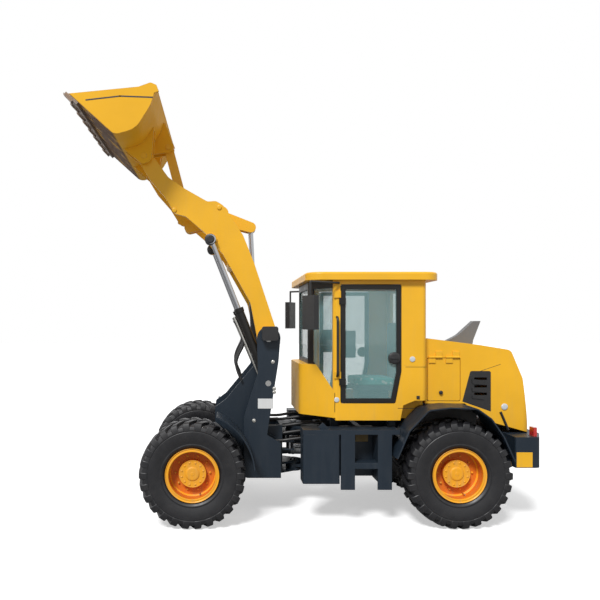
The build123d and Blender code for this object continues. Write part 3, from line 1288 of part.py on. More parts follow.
def mirror_head():
    """The left mirror with its arm to the cab's front corner."""
    x, y, z = MIRROR_PLACE
    head = Pos(x, y, z) * Rot(0, 0, MIRROR_TURN) * Box(MIRROR_DEPTH, MIRROR_WIDTH, MIRROR_HEIGHT)
    elbow = (x, y, MIRROR_ARM_Z)
    knee = (MIRROR_FOOT_X, CAB_HALF_WIDTH + 3 * MIRROR_ARM_RADIUS, MIRROR_ARM_Z)
    foot = (MIRROR_FOOT_X, CAB_HALF_WIDTH, MIRROR_ARM_Z)
    for start, end in (((x, y, z), elbow), (elbow, knee), (knee, foot)):
        head += bar(start, end, MIRROR_ARM_RADIUS)
    for corner in (elbow, knee):
        head += Pos(*corner) * Sphere(MIRROR_ARM_RADIUS)
    return head


def placed(shape, x, side):
    """A wheel piece, made for the left side, at one end of an axle."""
    turned = shape if side > 0 else mirror(shape, about=Plane.XZ)
    return Pos(x, side * WHEEL_Y, AXLE_Z) * turned


def nodes():
    """Every sub-part by name."""
    found = {
        "frame_rails": frame_rails(),
        "frame_yoke": frame_yoke(),
        "powertrain": [gearbox(), engine()],
        "rear_axle": axle(REAR_AXLE_X, RAIL_OUTER_Y - RAIL_WIDTH / 2, RAIL_BOTTOM, 1),
        "side_boxes": [*both(tank()), *both(side_box())],
        "counterweight": counterweight(),
        "ladders": both(ladder()),
        "rear_fenders": both(rear_fender()),
        "tail_lamps": both(tail_lamp()),
        **cab_shells(),
        "cab_glass": cab_glass(),
        "cab_roof": cab_roof(),
        "mirrors": both(mirror_head()),
        "seat": seat(),
        "steering_column": steering_column(),
        "hood": hood(),
        "grilles": [*both(side_grille()), rear_grille()],
        "exhaust": exhaust(),
        "front_frame": front_frame(),
        "frame_pins": [*articulation_pins(), *tower_pins()],
        "front_axle": front_axle(),
        "tower_plates": both(tower_plates()),
        "tilt_mount": tilt_mount(),
        "front_fenders": both(front_fender()),
        "headlamps": both(headlamp()),
        "boom_arms": both(boom_arm()),
        "boom_tubes": boom_tubes(),
        "crank_pin": crank_pin(),
        "crank": crank(),
        "link_pin": link_pin(),
        "link": link(),
        "bucket_pins": bucket_pins(),
        "bucket": bucket(),
        "bucket_edge": bucket_edge(),
        "lift_barrels": both(lift_barrel()),
        "lift_rods": both(lift_rod()),
        "tilt_pin": tilt_pin(),
        "tilt_barrel": tilt_barrel(),
        "tilt_rod": tilt_rod(),
    }
    one_tyre = tyre()
    one_rim = rim()
    for side_name, side in (("left", 1), ("right", -1)):
        found[f"steer_barrel_{side_name}"] = steer_barrel(side)
        found[f"steer_rod_{side_name}"] = steer_rod(side)
        found[f"door_{side_name}"] = both(door())[0 if side > 0 else 1]
        found[f"door_glass_{side_name}"] = both(door_glass())[0 if side > 0 else 1]
        found[f"hood_door_{side_name}"] = both(hood_door())[0 if side > 0 else 1]
        for end_name, x in (("front", FRONT_AXLE_X), ("rear", REAR_AXLE_X)):
            found[f"tyre_{end_name}_{side_name}"] = placed(one_tyre, x, side)
            found[f"rim_{end_name}_{side_name}"] = placed(one_rim, x, side)
    return found


def gathered(shapes):
    """The solids of one shape or of a list of shapes, as one compound."""
    listed = shapes if isinstance(shapes, list) else [shapes]
    return Compound([solid for shape in listed for solid in shape.solids()])


# ---- Export ----
os.makedirs("parts", exist_ok=True)
compounds = {name: gathered(shapes) for name, shapes in nodes().items()}
bounds = Compound([solid for compound in compounds.values() for solid in compound.solids()]).bounding_box()
SHIFT = (-(bounds.min.X + bounds.max.X) / 2, -(bounds.min.Y + bounds.max.Y) / 2, -bounds.min.Z)
for name, compound in compounds.items():
    export_step(Pos(*SHIFT) * compound, f"parts/{name}.step")
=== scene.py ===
import json
import math

import bmesh
import bpy
from mathutils import Matrix, Vector


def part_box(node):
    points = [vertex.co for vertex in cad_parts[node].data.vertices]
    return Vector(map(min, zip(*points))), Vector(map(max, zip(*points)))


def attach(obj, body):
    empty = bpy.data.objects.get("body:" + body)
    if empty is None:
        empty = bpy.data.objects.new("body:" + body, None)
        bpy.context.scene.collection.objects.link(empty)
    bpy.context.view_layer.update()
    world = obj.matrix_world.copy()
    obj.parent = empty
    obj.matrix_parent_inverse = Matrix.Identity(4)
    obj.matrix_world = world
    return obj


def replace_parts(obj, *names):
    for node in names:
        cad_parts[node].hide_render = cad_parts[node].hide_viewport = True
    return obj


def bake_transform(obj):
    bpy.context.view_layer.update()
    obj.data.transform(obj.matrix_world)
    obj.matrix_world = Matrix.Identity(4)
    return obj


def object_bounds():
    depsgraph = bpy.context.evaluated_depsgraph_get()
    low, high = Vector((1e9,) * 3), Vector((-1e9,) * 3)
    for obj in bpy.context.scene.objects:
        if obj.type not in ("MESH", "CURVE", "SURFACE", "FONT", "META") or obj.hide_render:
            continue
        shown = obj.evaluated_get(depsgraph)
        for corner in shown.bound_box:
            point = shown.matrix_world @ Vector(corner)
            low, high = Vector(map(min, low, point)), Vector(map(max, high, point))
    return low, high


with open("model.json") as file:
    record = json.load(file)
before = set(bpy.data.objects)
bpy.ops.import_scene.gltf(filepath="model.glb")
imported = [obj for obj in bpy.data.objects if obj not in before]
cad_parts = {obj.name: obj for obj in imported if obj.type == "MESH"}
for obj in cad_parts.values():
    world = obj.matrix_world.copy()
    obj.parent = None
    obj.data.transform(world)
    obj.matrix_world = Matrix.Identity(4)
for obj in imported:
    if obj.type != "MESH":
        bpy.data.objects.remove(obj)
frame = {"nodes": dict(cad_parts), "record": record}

CAD_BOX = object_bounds()

# Places are given in millimetres from the articulation pin: X forward, Y left, Z up from the ground.
PIN_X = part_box("frame_pins")[0].x + 0.035


def at(x, y, z):
    """A place in the row frame, in metres."""
    return Vector((PIN_X + x / 1000, y / 1000, z / 1000))


def mm(node):
    """A CAD node's box as ((x0, y0, z0), (x1, y1, z1)) in millimetres from the articulation pin."""
    a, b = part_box(node)
    return tuple(((v.x - PIN_X) * 1000, v.y * 1000, v.z * 1000) for v in (a, b))


# ---------------------------------------------------------------- materials
class Shade:
    """One procedural material under construction."""

    def __init__(self, name):
        self.material = bpy.data.materials.new(name)
        self.material.use_nodes = True
        self.tree = self.material.node_tree
        self.shader = self.tree.nodes["Principled BSDF"]
        self.where = self.node("TexCoord").outputs["Object"]

    def node(self, kind, **settings):
        made = self.tree.nodes.new("ShaderNode" + kind)
        for key, value in settings.items():
            setattr(made, key, value)
        return made

    def feed(self, socket, value):
        if isinstance(value, bpy.types.NodeSocket):
            self.tree.links.new(value, socket)
        else:
            socket.default_value = value

    def noise(self, scale, detail=3.0, rough=0.55, stretch=None):
        made = self.node("TexNoise")
        source = self.where
        if stretch:
            mapping = self.node("Mapping")
            self.feed(mapping.inputs["Vector"], source)
            mapping.inputs["Scale"].default_value = stretch
            source = mapping.outputs[0]
        self.feed(made.inputs["Vector"], source)
        made.inputs["Scale"].default_value = scale
        made.inputs["Detail"].default_value = detail
        made.inputs["Roughness"].default_value = rough
        return made.outputs[0]

    def cells(self, scale, feature="F1"):
        made = self.node("TexVoronoi", feature=feature)
        self.feed(made.inputs["Vector"], self.where)
        made.inputs["Scale"].default_value = scale
        return made.outputs["Distance"]

    def remap(self, value, a, b, c=0.0, d=1.0):
        made = self.node("MapRange")
        self.feed(made.inputs["Value"], value)
        for key, limit in (("From Min", a), ("From Max", b), ("To Min", c), ("To Max", d)):
            made.inputs[key].default_value = limit
        return made.outputs[0]

    def math(self, kind, a, b=0.0):
        made = self.node("Math", operation=kind)
        self.feed(made.inputs[0], a)
        self.feed(made.inputs[1], b)
        return made.outputs[0]

    def mix(self, share, a, b, blend="MIX"):
        made = self.node("Mix", data_type="RGBA", blend_type=blend)
        self.feed(made.inputs[0], share)
        for socket, value in ((made.inputs[6], a), (made.inputs[7], b)):
            self.feed(socket, (*value, 1.0) if isinstance(value, tuple) else value)
        return made.outputs[2]

    def axis(self, index):
        made = self.node("SeparateXYZ")
        self.feed(made.inputs[0], self.where)
        return made.outputs[index]

    def edge(self, radius=0.007):
        """1 along sharp edges, 0 on open faces."""
        bevel = self.node("Bevel")
        bevel.samples = 4
        bevel.inputs["Radius"].default_value = radius
        flat = self.node("NewGeometry").outputs["Normal"]
        dot = self.node("VectorMath", operation="DOT_PRODUCT")
        self.feed(dot.inputs[0], bevel.outputs[0])
        self.feed(dot.inputs[1], flat)
        return self.remap(dot.outputs["Value"], 0.995, 0.88)

    def bump(self, height, strength=0.2, distance=0.001, rounded=0.0):
        made = self.node("Bump")
        made.inputs["Strength"].default_value = strength
        made.inputs["Distance"].default_value = distance
        self.feed(made.inputs["Height"], height)
        if rounded:
            bevel = self.node("Bevel")
            bevel.samples = 4
            bevel.inputs["Radius"].default_value = rounded
            self.feed(made.inputs["Normal"], bevel.outputs[0])
        self.feed(self.shader.inputs["Normal"], made.outputs[0])

    def finish(self, colour, rough, **others):
        self.feed(self.shader.inputs["Base Color"], (*colour, 1.0) if isinstance(colour, tuple) else colour)
        self.feed(self.shader.inputs["Roughness"], rough)
        for key, value in others.items():
            self.feed(self.shader.inputs[key.replace("_", " ")], value)
        return self.material


def scaled(colour, share):
    return tuple(min(1.0, c * share) for c in colour)


CHIPPED = (0.30, 0.28, 0.25)
DUSTY = (0.33, 0.27, 0.18)


def paint(name, colour, rough=0.36, coat=0.10, dust=0.10, chipped=CHIPPED, dusty=DUSTY):
    """Sprayed enamel: slight clouding and orange peel, dust low down, chips along the edges."""
    s = Shade(name)
    cloud = s.remap(s.noise(1.7, 4.0), 0.35, 0.7)
    tone = s.mix(cloud, scaled(colour, 0.93), scaled(colour, 1.04))
    streak = s.remap(s.noise(3.0, 5.0, 0.65, (6.0, 6.0, 0.7)), 0.48, 0.75)
    low_down = s.remap(s.axis(2), 1.5, 0.35)
    dirt = s.math("MULTIPLY", s.math("ADD", low_down, 0.22), streak)
    tone = s.mix(s.math("MULTIPLY", dirt, dust * 2.2), tone, dusty)
    chips = s.math("MULTIPLY", s.edge(), s.remap(s.noise(38.0, 4.0, 0.7), 0.52, 0.66))
    tone = s.mix(s.math("MULTIPLY", chips, 0.75), tone, chipped)
    patches = s.remap(s.noise(9.0, 4.0), 0.3, 0.75, rough - 0.05, rough + 0.09)
    worn = s.math("ADD", patches, s.math("MULTIPLY", dirt, 0.25))
    s.bump(s.noise(260.0, 2.0), 0.10, 0.0012, rounded=0.004)
    return s.finish(tone, worn, Coat_Weight=coat, Coat_Roughness=0.15, Specular_IOR_Level=0.32)


def bucket_paint(name, colour, floor_point, floor_normal):
    """Enamel that is rubbed to bare, lightly rusted steel on the bucket's floor and inside it."""
    s = Shade(name)
    cloud = s.remap(s.noise(1.7, 4.0), 0.35, 0.7)
    tone = s.mix(cloud, scaled(colour, 0.93), scaled(colour, 1.04))
    offset = s.node("VectorMath", operation="SUBTRACT")
    s.feed(offset.inputs[0], s.where)
    offset.inputs[1].default_value = floor_point
    height = s.node("VectorMath", operation="DOT_PRODUCT")
    s.feed(height.inputs[0], offset.outputs[0])
    height.inputs[1].default_value = floor_normal
    below = s.remap(height.outputs["Value"], 0.012, 0.002)
    ragged = s.remap(s.noise(5.0, 6.0, 0.7), 0.30, 0.48)
    bare = s.math("MULTIPLY", below, ragged)
    rust = s.mix(s.remap(s.noise(14.0, 6.0, 0.7), 0.35, 0.7), (0.085, 0.050, 0.030), (0.20, 0.090, 0.035))
    scratch = s.remap(s.noise(60.0, 3.0, 0.6, (0.4, 5.0, 0.4)), 0.55, 0.72)
    steel = s.mix(scratch, rust, (0.24, 0.17, 0.11))
    tone = s.mix(bare, tone, steel)
    chips = s.math("MULTIPLY", s.edge(0.010), s.remap(s.noise(22.0, 5.0, 0.7), 0.45, 0.62))
    tone = s.mix(s.math("MULTIPLY", chips, 0.85), tone, (0.20, 0.15, 0.12))
    patches = s.remap(s.noise(9.0, 4.0), 0.3, 0.75, 0.52, 0.66)
    rough = s.math("ADD", patches, s.math("MULTIPLY", bare, 0.12))
    s.bump(s.noise(120.0, 4.0), 0.14, 0.0015, rounded=0.004)
    return s.finish(tone, rough, Coat_Weight=0.0, Specular_IOR_Level=0.18)


def rubber(name, colour, grain=220.0):
    s = Shade(name)
    dust = s.remap(s.noise(6.0, 6.0, 0.7), 0.5, 0.8)
    tone = s.mix(s.math("MULTIPLY", dust, 0.15), colour, (0.06, 0.055, 0.05))
    s.bump(s.noise(grain, 3.0, 0.6), 0.25, 0.0012)
    return s.finish(tone, s.remap(s.noise(12.0, 4.0), 0.3, 0.7, 0.36, 0.52), Specular_IOR_Level=0.55)


def plastic(name, colour, rough=0.42, grain=420.0, depth=0.22):
    s = Shade(name)
    tone = s.mix(s.remap(s.noise(5.0, 4.0), 0.35, 0.7), scaled(colour, 0.9), scaled(colour, 1.25))
    s.bump(s.cells(grain), depth, 0.0006, rounded=0.003)
    return s.finish(tone, s.remap(s.noise(20.0, 3.0), 0.3, 0.7, rough - 0.06, rough + 0.08))


def metal(name, colour, rough, stretch=(1.0, 1.0, 1.0), scratches=90.0):
    s = Shade(name)
    lines = s.noise(scratches, 4.0, 0.6, stretch)
    tone = s.mix(s.remap(lines, 0.35, 0.7), scaled(colour, 0.85), scaled(colour, 1.08))
    s.bump(lines, 0.06, 0.0008)
    return s.finish(tone, s.remap(lines, 0.3, 0.7, rough * 0.8, rough * 1.3), Metallic=1.0)


def worn_steel(name):
    """Cutting edge and teeth: rusted steel, ground bright along its edges."""
    s = Shade(name)
    rust = s.mix(s.remap(s.noise(16.0, 6.0, 0.7), 0.35, 0.7), (0.15, 0.12, 0.10), (0.28, 0.17, 0.10))
    bright = s.math("MULTIPLY", s.edge(0.012), s.remap(s.noise(30.0, 4.0), 0.3, 0.6))
    tone = s.mix(bright, rust, (0.48, 0.45, 0.42))
    s.bump(s.noise(90.0, 5.0, 0.65), 0.3, 0.0018, rounded=0.004)
    return s.finish(tone, s.remap(s.noise(25.0, 4.0), 0.3, 0.7, 0.42, 0.66), Metallic=0.35)


def cloth(name, colour, thread, weave=900.0):
    s = Shade(name)
    warp = s.node("TexWave", bands_direction="Y")
    weft = s.node("TexWave", bands_direction="Z")
    for wave in (warp, weft):
        s.feed(wave.inputs["Vector"], s.where)
        wave.inputs["Scale"].default_value = weave / 6.28
        wave.inputs["Distortion"].default_value = 0.4
    woven = s.math("MULTIPLY", warp.outputs["Fac"], weft.outputs["Fac"])
    blots = s.remap(s.cells(17.0, "SMOOTH_F1"), 0.18, 0.30)
    tone = s.mix(blots, thread, colour)
    tone = s.mix(s.math("MULTIPLY", woven, 0.35), tone, scaled(colour, 0.6))
    s.bump(woven, 0.35, 0.0008)
    return s.finish(tone, 0.85, Sheen_Weight=0.3, Sheen_Roughness=0.5)


def glass(name, colour, alpha):
    s = Shade(name)
    haze = s.remap(s.noise(2.2, 3.0), 0.35, 0.7)
    tone = s.mix(haze, scaled(colour, 0.9), scaled(colour, 1.1))
    s.feed(s.shader.inputs["Alpha"], alpha)
    s.bump(s.noise(3.0, 2.0), 0.02, 0.001)
    return s.finish(tone, 0.03, Specular_IOR_Level=0.8)


def lens(name, colour, ribs=700.0):
    s = Shade(name)
    wave = s.node("TexWave", bands_direction="Z")
    s.feed(wave.inputs["Vector"], s.where)
    wave.inputs["Scale"].default_value = ribs / 6.28
    tone = s.mix(s.remap(wave.outputs["Fac"], 0.2, 0.8), scaled(colour, 0.75), scaled(colour, 1.15))
    s.bump(wave.outputs["Fac"], 0.35, 0.001)
    return s.finish(tone, 0.12, Coat_Weight=0.8, Coat_Roughness=0.05)


YELLOW = (0.90, 0.475, 0.022)
SLATE = (0.015, 0.024, 0.036)
BLACK = (0.011, 0.010, 0.009)
BUCKET_TURN = math.radians(42.2)
BUCKET_PIN = (1650, 3860)
BUCKET_HEEL = (240, -110)      # from the pin, along the bucket's floor and up from it
FLOOR_NORMAL = (-math.sin(BUCKET_TURN), 0.0, math.cos(BUCKET_TURN))
heel = at(
    BUCKET_PIN[0] + BUCKET_HEEL[0] * math.cos(BUCKET_TURN) - BUCKET_HEEL[1] * math.sin(BUCKET_TURN),
    0,
    BUCKET_PIN[1] + BUCKET_HEEL[0] * math.sin(BUCKET_TURN) + BUCKET_HEEL[1] * math.cos(BUCKET_TURN),
)
DARK_CHIP = (0.07, 0.07, 0.07)
DARK_DUST = (0.06, 0.06, 0.06)
BLACK_CHIP = (0.06, 0.06, 0.06)
BLACK_DUST = (0.04, 0.04, 0.04)
M = {
    "yellow_paint": paint("yellow enamel", YELLOW),
    "bucket_paint": bucket_paint("bucket enamel and bare steel", YELLOW, heel, FLOOR_NORMAL),
    "rim_paint": paint("rim enamel", (0.90, 0.40, 0.018), rough=0.4, dust=0.14),
    # The rim's dish takes a darker, redder copy of the rim enamel: painted shade for the shadow inside the
    # deep dish.
    "dish_paint_with_painted_shade": paint("rim dish enamel with painted shade", (0.72, 0.19, 0.016), rough=0.5, coat=0.0, dust=0.12),
    "slate_paint": paint("slate enamel", SLATE, 0.38, 0.05, 0.05, DARK_CHIP, DARK_DUST),
    "black_paint": paint("black enamel", BLACK, 0.4, 0.05, 0.04, BLACK_CHIP, BLACK_DUST),
    "grey_paint": paint("grey enamel", (0.16, 0.165, 0.17), rough=0.45, coat=0.1, dust=0.1),
    "white_plate": paint("blank white plate", (0.72, 0.73, 0.73), rough=0.35, dust=0.1),
    "tan_plate": paint("tan plate", (0.20, 0.13, 0.035), rough=0.5, dust=0.3),
    "tyre_rubber": rubber("tyre rubber", (0.011, 0.011, 0.013)),
    "hose_rubber": rubber("hose rubber", (0.014, 0.014, 0.015), 500.0),
    "black_plastic": plastic("grained black plastic", (0.016, 0.016, 0.017)),
    "chrome_rod": metal("chromed rod", (0.46, 0.47, 0.49), 0.24, (1.0, 1.0, 14.0)),
    "pin_steel": metal("bright pin steel", (0.50, 0.50, 0.49), 0.32),
    "zinc": metal("zinc-plated steel", (0.62, 0.61, 0.57), 0.28),
    "worn_steel": worn_steel("worn steel"),
    "tinted_glass": glass("tinted glass", (0.30, 0.52, 0.53), 0.30),
    "seat_fabric": cloth("teal seat cover", (0.07, 0.42, 0.39), (0.70, 0.80, 0.78)),
    "back_fabric": cloth("grey seat fabric", (0.20, 0.21, 0.17), (0.24, 0.25, 0.20)),
    "lamp_red": lens("red lamp lens", (0.55, 0.02, 0.015)),
    "lamp_clear": lens("clear lamp lens", (0.62, 0.66, 0.68)),
}

ENDS = ("front", "rear")
SIDES = (("left", 1), ("right", -1))

NODE_LOOKS = {
    "bucket": "bucket_paint",
    "bucket_pins": "yellow_paint",
    "link_pin": "yellow_paint",
    "steering_column": "black_plastic",
    "tail_lamps": "lamp_red",
}
# The CAD rims take the darker dish enamel, which is painted shade.
NODE_LOOKS.update({f"rim_{end}_{hand}": "dish_paint_with_painted_shade" for end in ENDS for hand, _ in SIDES})
for node, obj in frame["nodes"].items():
    slot = next(p["material_slot"] for p in frame["record"]["subparts"] if p["node"] == node)
    look = M[NODE_LOOKS.get(node, slot)]
    if not obj.data.materials:
        obj.data.materials.append(look)
    for material_slot in obj.material_slots:
        material_slot.material = look


# ---------------------------------------------------------------- mesh building
class Form:
    """Points and faces in metres, in the row frame; the methods take millimetres from the pin."""

    def __init__(self):
        self.points = []
        self.faces = []

    def add(self, points, faces):
        base = len(self.points)
        self.points += [Vector(p) for p in points]
        self.faces += [tuple(base + i for i in face) for face in faces]
        return self

    def prism(self, outline, span, axis="y"):
        """An outline of (x, z), (y, z) or (x, y) pairs made solid between two places along y, x or z."""
        places = {
            "x": lambda a, b, c: at(c, a, b),
            "y": lambda a, b, c: at(a, c, b),
            "z": lambda a, b, c: at(a, b, c),
        }
        place = places[axis]
        n = len(outline)
        points = [place(a, b, span[0]) for a, b in outline] + [place(a, b, span[1]) for a, b in outline]
        sides = [(i, (i + 1) % n, n + (i + 1) % n, n + i) for i in range(n)]
        return self.add(points, [tuple(range(n))[::-1], tuple(range(n, 2 * n)), *sides])

    def block(self, x, y, z):
        return self.prism([(x[0], z[0]), (x[1], z[0]), (x[1], z[1]), (x[0], z[1])], y)

    def slanted(self, centre, size, turn=None):
        """A block about a centre, turned by a matrix."""
        half = [s / 2000 for s in size]
        ends = (-1, 1)
        corners = [
            Vector((i * half[0], j * half[1], k * half[2]))
            for i in ends
            for j in ends
            for k in ends
        ]
        turn = turn or Matrix.Identity(3)
        points = [at(*centre) + turn @ c for c in corners]
        faces = [(0, 1, 3, 2), (4, 6, 7, 5), (0, 4, 5, 1), (2, 3, 7, 6), (0, 2, 6, 4), (1, 5, 7, 3)]
        return self.add(points, faces)

    def turned(self, profile, centre, axis, sides=32):
        """A closed ring or round solid from (distance along axis, radius) pairs about a centre."""
        along = Vector(axis).normalized()
        side = along.orthogonal().normalized()
        third = along.cross(side)
        start = at(*centre)
        points, faces = [], []
        for i in range(sides):
            angle = 2 * math.pi * i / sides
            away = side * math.cos(angle) + third * math.sin(angle)
            points += [start + along * (d / 1000) + away * (r / 1000) for d, r in profile]
        n = len(profile)
        for i in range(sides):
            j = (i + 1) % sides
            faces += [(i * n + k, j * n + k, j * n + k + 1, i * n + k + 1) for k in range(n - 1)]
        for k in (0, n - 1):
            if profile[k][1] > 0.01:
                ring = tuple(i * n + k for i in range(sides))
                faces.append(ring if k == n - 1 else ring[::-1])
        return self.add(points, faces)

    def ring(self, profile, centre, axis, sides=48):
        """A closed loop of (distance, radius) pairs swept right round."""
        along = Vector(axis).normalized()
        side = along.orthogonal().normalized()
        third = along.cross(side)
        start = at(*centre)
        points, faces = [], []
        n = len(profile)
        for i in range(sides):
            angle = 2 * math.pi * i / sides
            away = side * math.cos(angle) + third * math.sin(angle)
            points += [start + along * (d / 1000) + away * (r / 1000) for d, r in profile]
            j = (i + 1) % sides
            faces += [(i * n + k, j * n + k, j * n + (k + 1) % n, i * n + (k + 1) % n) for k in range(n)]
        return self.add(points, faces)

    def bar(self, start, end, radius, sides=20):
        run = at(*end) - at(*start)
        length = run.length * 1000
        return self.turned([(0, radius), (length, radius)], start, run, sides)

    def bolt(self, place, axis, radius=9, height=7, washer=True):
        """A hexagon head on a washer, seated at a place."""
        if washer:
            self.turned([(-1, radius * 1.35), (1.5, radius * 1.35), (2.2, radius * 1.2)], place, axis, 20)
        return self.turned([(0, radius), (height - 1.5, radius), (height, radius * 0.86)], place, axis, 6)

    def make(self, name, look, body, bevel=0.0, segments=2, smooth=40):
        mesh = bpy.data.meshes.new(name)
        mesh.from_pydata(self.points, [], self.faces)
        mesh.update()
        made = bpy.data.objects.new(name, mesh)
        bpy.context.scene.collection.objects.link(made)
        mesh.materials.append(M[look])
        mesh.shade_smooth()
        mesh.set_sharp_from_angle(angle=math.radians(smooth))
        if bevel:
            soft = made.modifiers.new("Bevel", "BEVEL")
            soft.width = bevel / 1000
            soft.segments = segments
            soft.limit_method = "ANGLE"
            soft.angle_limit = math.radians(38)
            soft.harden_normals = False
        if body:
            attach(made, body)
        return made


def hose_mesh(name, points, radius, look="hose_rubber"):
    """A round hose along a smooth curve guided by points."""
    data = bpy.data.curves.new(name + "_route", "CURVE")
    data.dimensions = "3D"
    line = data.splines.new("NURBS")
    line.points.add(len(points) - 1)
    for point, place in zip(line.points, points):
        point.co = (*at(*place), 1.0)
    line.order_u = 3
    line.use_endpoint_u = True
    line.resolution_u = 8
    data.bevel_depth = radius / 1000
    data.bevel_resolution = 3
    data.use_fill_caps = True
    route = bpy.data.objects.new(name + "_route", data)
    bpy.context.scene.collection.objects.link(route)
    bpy.context.view_layer.update()
    mesh = bpy.data.meshes.new_from_object(route.evaluated_get(bpy.context.evaluated_depsgraph_get()))
    bpy.data.objects.remove(route)
    mesh.name = name
    made = bpy.data.objects.new(name, mesh)
    bpy.context.scene.collection.objects.link(made)
    mesh.materials.clear()
    mesh.materials.append(M[look])
    mesh.shade_smooth()
    return made


# ---------------------------------------------------------------- tyres and wheels
# (distance from the wheel's centre plane, radius) round one half of the tyre's section
CARCASS = [
    (150, 253), (164, 253), (166, 270), (172, 281), (182, 290), (188, 300), (190.5, 306),
    (190.5, 312), (188.5, 316), (194, 340), (200, 368), (203, 395), (204.3, 420), (203.6, 440),
    (200.6, 444), (200.6, 449), (203, 453), (200.5, 470), (193, 490), (172, 503), (125, 508),
    (60, 510.5),
]
TYRE_STEPS = 88
LUGS = 26
# Stations along a lug from the sidewall to the middle:
# y, top radius, base y, base radius, half width, turn in degrees
LUG_STATIONS = [
    (203.8, 448, 192, 448, 33, 0.0),
    (204.4, 470, 186, 466, 37, 0.0),
    (202.0, 500, 180, 484, 38, 0.0),
    (193.0, 522, 172, 492, 38, 0.2),
    (176.0, 533, 160, 498, 37, 0.8),
    (140.0, 536, 140, 500, 34, 2.4),
    (85.0, 537.2, 85, 502, 31, 5.4),
    (16.0, 537.4, 16, 502, 27, 9.0),
]
LUG_TOP_SHARE = 0.84       # of the station's half width, and wider at its base
LUG_BASE_SHARE = 1.12
LOCK_RING = [
    (160, 236.5), (180, 236.5), (182, 239), (182, 252), (180, 257), (183, 263),
    (187, 267), (187, 270), (184, 272), (179, 270), (176, 264), (160, 240),
]
HUB_FACE = 100             # from the wheel's centre plane
HUB_CAP = [
    (-12, 137.5), (0.6, 137.5), (0.7, 120), (0.8, 71), (5, 69),
    (9, 62), (10, 50), (10, 20), (12, 18), (12, 0.1),
]
HUB_RIM = [(84, 139), (97, 139.5), (100.5, 136), (100.5, 131), (98, 130), (84, 130)]
HUB_BOLTS = 12
HUB_BOLT_CIRCLE = 112
DISC_FACE = 32
DISC_WELD = [(31, 224), (33.5, 227), (39, 233), (47, 237), (48, 239), (31, 239)]
WHEEL_NUTS = 10
WHEEL_NUT_CIRCLE = 176
WHEEL_NUT = [(-2, 12), (13, 12), (14, 10), (14, 7), (20, 7), (21, 6)]
VALVE_TURN = math.radians(250)


def centre_of(node):
    return tuple((a + b) / 2 for a, b in zip(*mm(node)))


def add_lug(form, centre, start, hand, side):
    """One lug from the sidewall to the middle, as a bar of four points at each station."""
    x, y, z = centre
    points = []
    for out, top, base_out, base, half, turn in LUG_STATIONS:
        spread = math.degrees(half / top)
        middle = start + turn * side
        for radius, lateral, share in ((top, out, LUG_TOP_SHARE), (base, base_out, LUG_BASE_SHARE)):
            for edge in (-1, 1):
                angle = math.radians(middle + edge * share * spread)
                place = (x + radius * math.cos(angle), y + hand * lateral, z + radius * math.sin(angle))
                points.append(at(*place))
    faces = [(0, 1, 3, 2)]
    for k in range(len(LUG_STATIONS) - 1):
        a, b = 4 * k, 4 * k + 4
        faces += [(a, b, b + 1, a + 1), (a, a + 2, b + 2, b), (a + 1, b + 1, b + 3, a + 3)]
    last = 4 * (len(LUG_STATIONS) - 1)
    faces.append((last, last + 2, last + 3, last + 1))
    if hand < 0:
        faces = [face[::-1] for face in faces]
    form.add(points, faces)


def tyre(name, node, body, side):
    centre = centre_of(node)
    form = Form()
    loop = CARCASS + [(-y, r) for y, r in reversed(CARCASS)]
    form.ring(loop, centre, (0, 1, 0), TYRE_STEPS)
    for hand in (1, -1):
        for lug in range(LUGS):
            offset = 0.5 if hand < 0 else 0.0
            add_lug(form, centre, 360 * (lug + offset) / LUGS, hand, side)
    made = form.make(name, "tyre_rubber", body, bevel=4.5, segments=2, smooth=34)
    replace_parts(made, node)


def wheel_trim(end, hand, side):
    """The lock ring, hub cap, bolts, disc weld and valve on a wheel's outer face."""
    body = f"wheel_{end}_{hand}"
    x, y, z = centre_of(f"tyre_{end}_{hand}")
    out = (0, side, 0)

    def on_face(radius, angle, depth):
        return (x + radius * math.cos(angle), y + side * depth, z + radius * math.sin(angle))

    def outward(profile):
        return [(side * d, r) for d, r in profile]

    ring = Form()
    ring.ring(outward(LOCK_RING), (x, y, z), (0, 1, 0), 72)
    ring.make(f"lock_ring_{end}_{hand}", "rim_paint", body, bevel=1.5, smooth=30)
    hub = Form()
    for i in range(HUB_BOLTS):
        turn = math.radians(360 * (i + 0.5) / HUB_BOLTS)
        hub.bolt(on_face(HUB_BOLT_CIRCLE, turn, HUB_FACE), out, 8, 6)
    hub.turned(HUB_CAP, on_face(0, 0, HUB_FACE - 0.5), out, 48)
    hub.ring(outward(HUB_RIM), (x, y, z), (0, 1, 0), 60)
    hub.make(f"hub_bolts_{end}_{hand}", "rim_paint", body, bevel=0.8)
    nuts = Form()
    for i in range(WHEEL_NUTS):
        turn = math.radians(360 * i / WHEEL_NUTS)
        nuts.turned(WHEEL_NUT, on_face(WHEEL_NUT_CIRCLE, turn, DISC_FACE), out, 6)
    nuts.make(f"wheel_nuts_{end}_{hand}", "rim_paint", body, bevel=0.6)
    weld = Form()
    weld.ring(outward(DISC_WELD), (x, y, z), (0, 1, 0), 60)
    weld.make(f"disc_weld_{end}_{hand}", "rim_paint", body)
    valve = Form()
    valve.bar(on_face(222, VALVE_TURN, 40), on_face(216, VALVE_TURN, 120), 5, 12)
    valve.make(f"valve_{end}_{hand}", "pin_steel", body)


for end in ENDS:
    for hand, side in SIDES:
        tyre(f"lugged_tyre_{end}_{hand}", f"tyre_{end}_{hand}", f"wheel_{end}_{hand}", side)
        wheel_trim(end, hand, side)


# ---------------------------------------------------------------- seat
(SEAT_X0, SEAT_Y0, SEAT_Z0), (SEAT_X1, SEAT_Y1, SEAT_Z1) = mm("seat")
SEAT_TOP = 1460
PAD = 100                  # thickness of the cushion and of the backrest
PAD_CUTS = 20
EDGE_POWER = 7             # higher is squarer
WAIST = 0.045              # how far the sides pull in between the corners
CHANNEL_DEPTH = 0.10
CHANNEL_WIDTH = 0.045
BELLOWS = 5


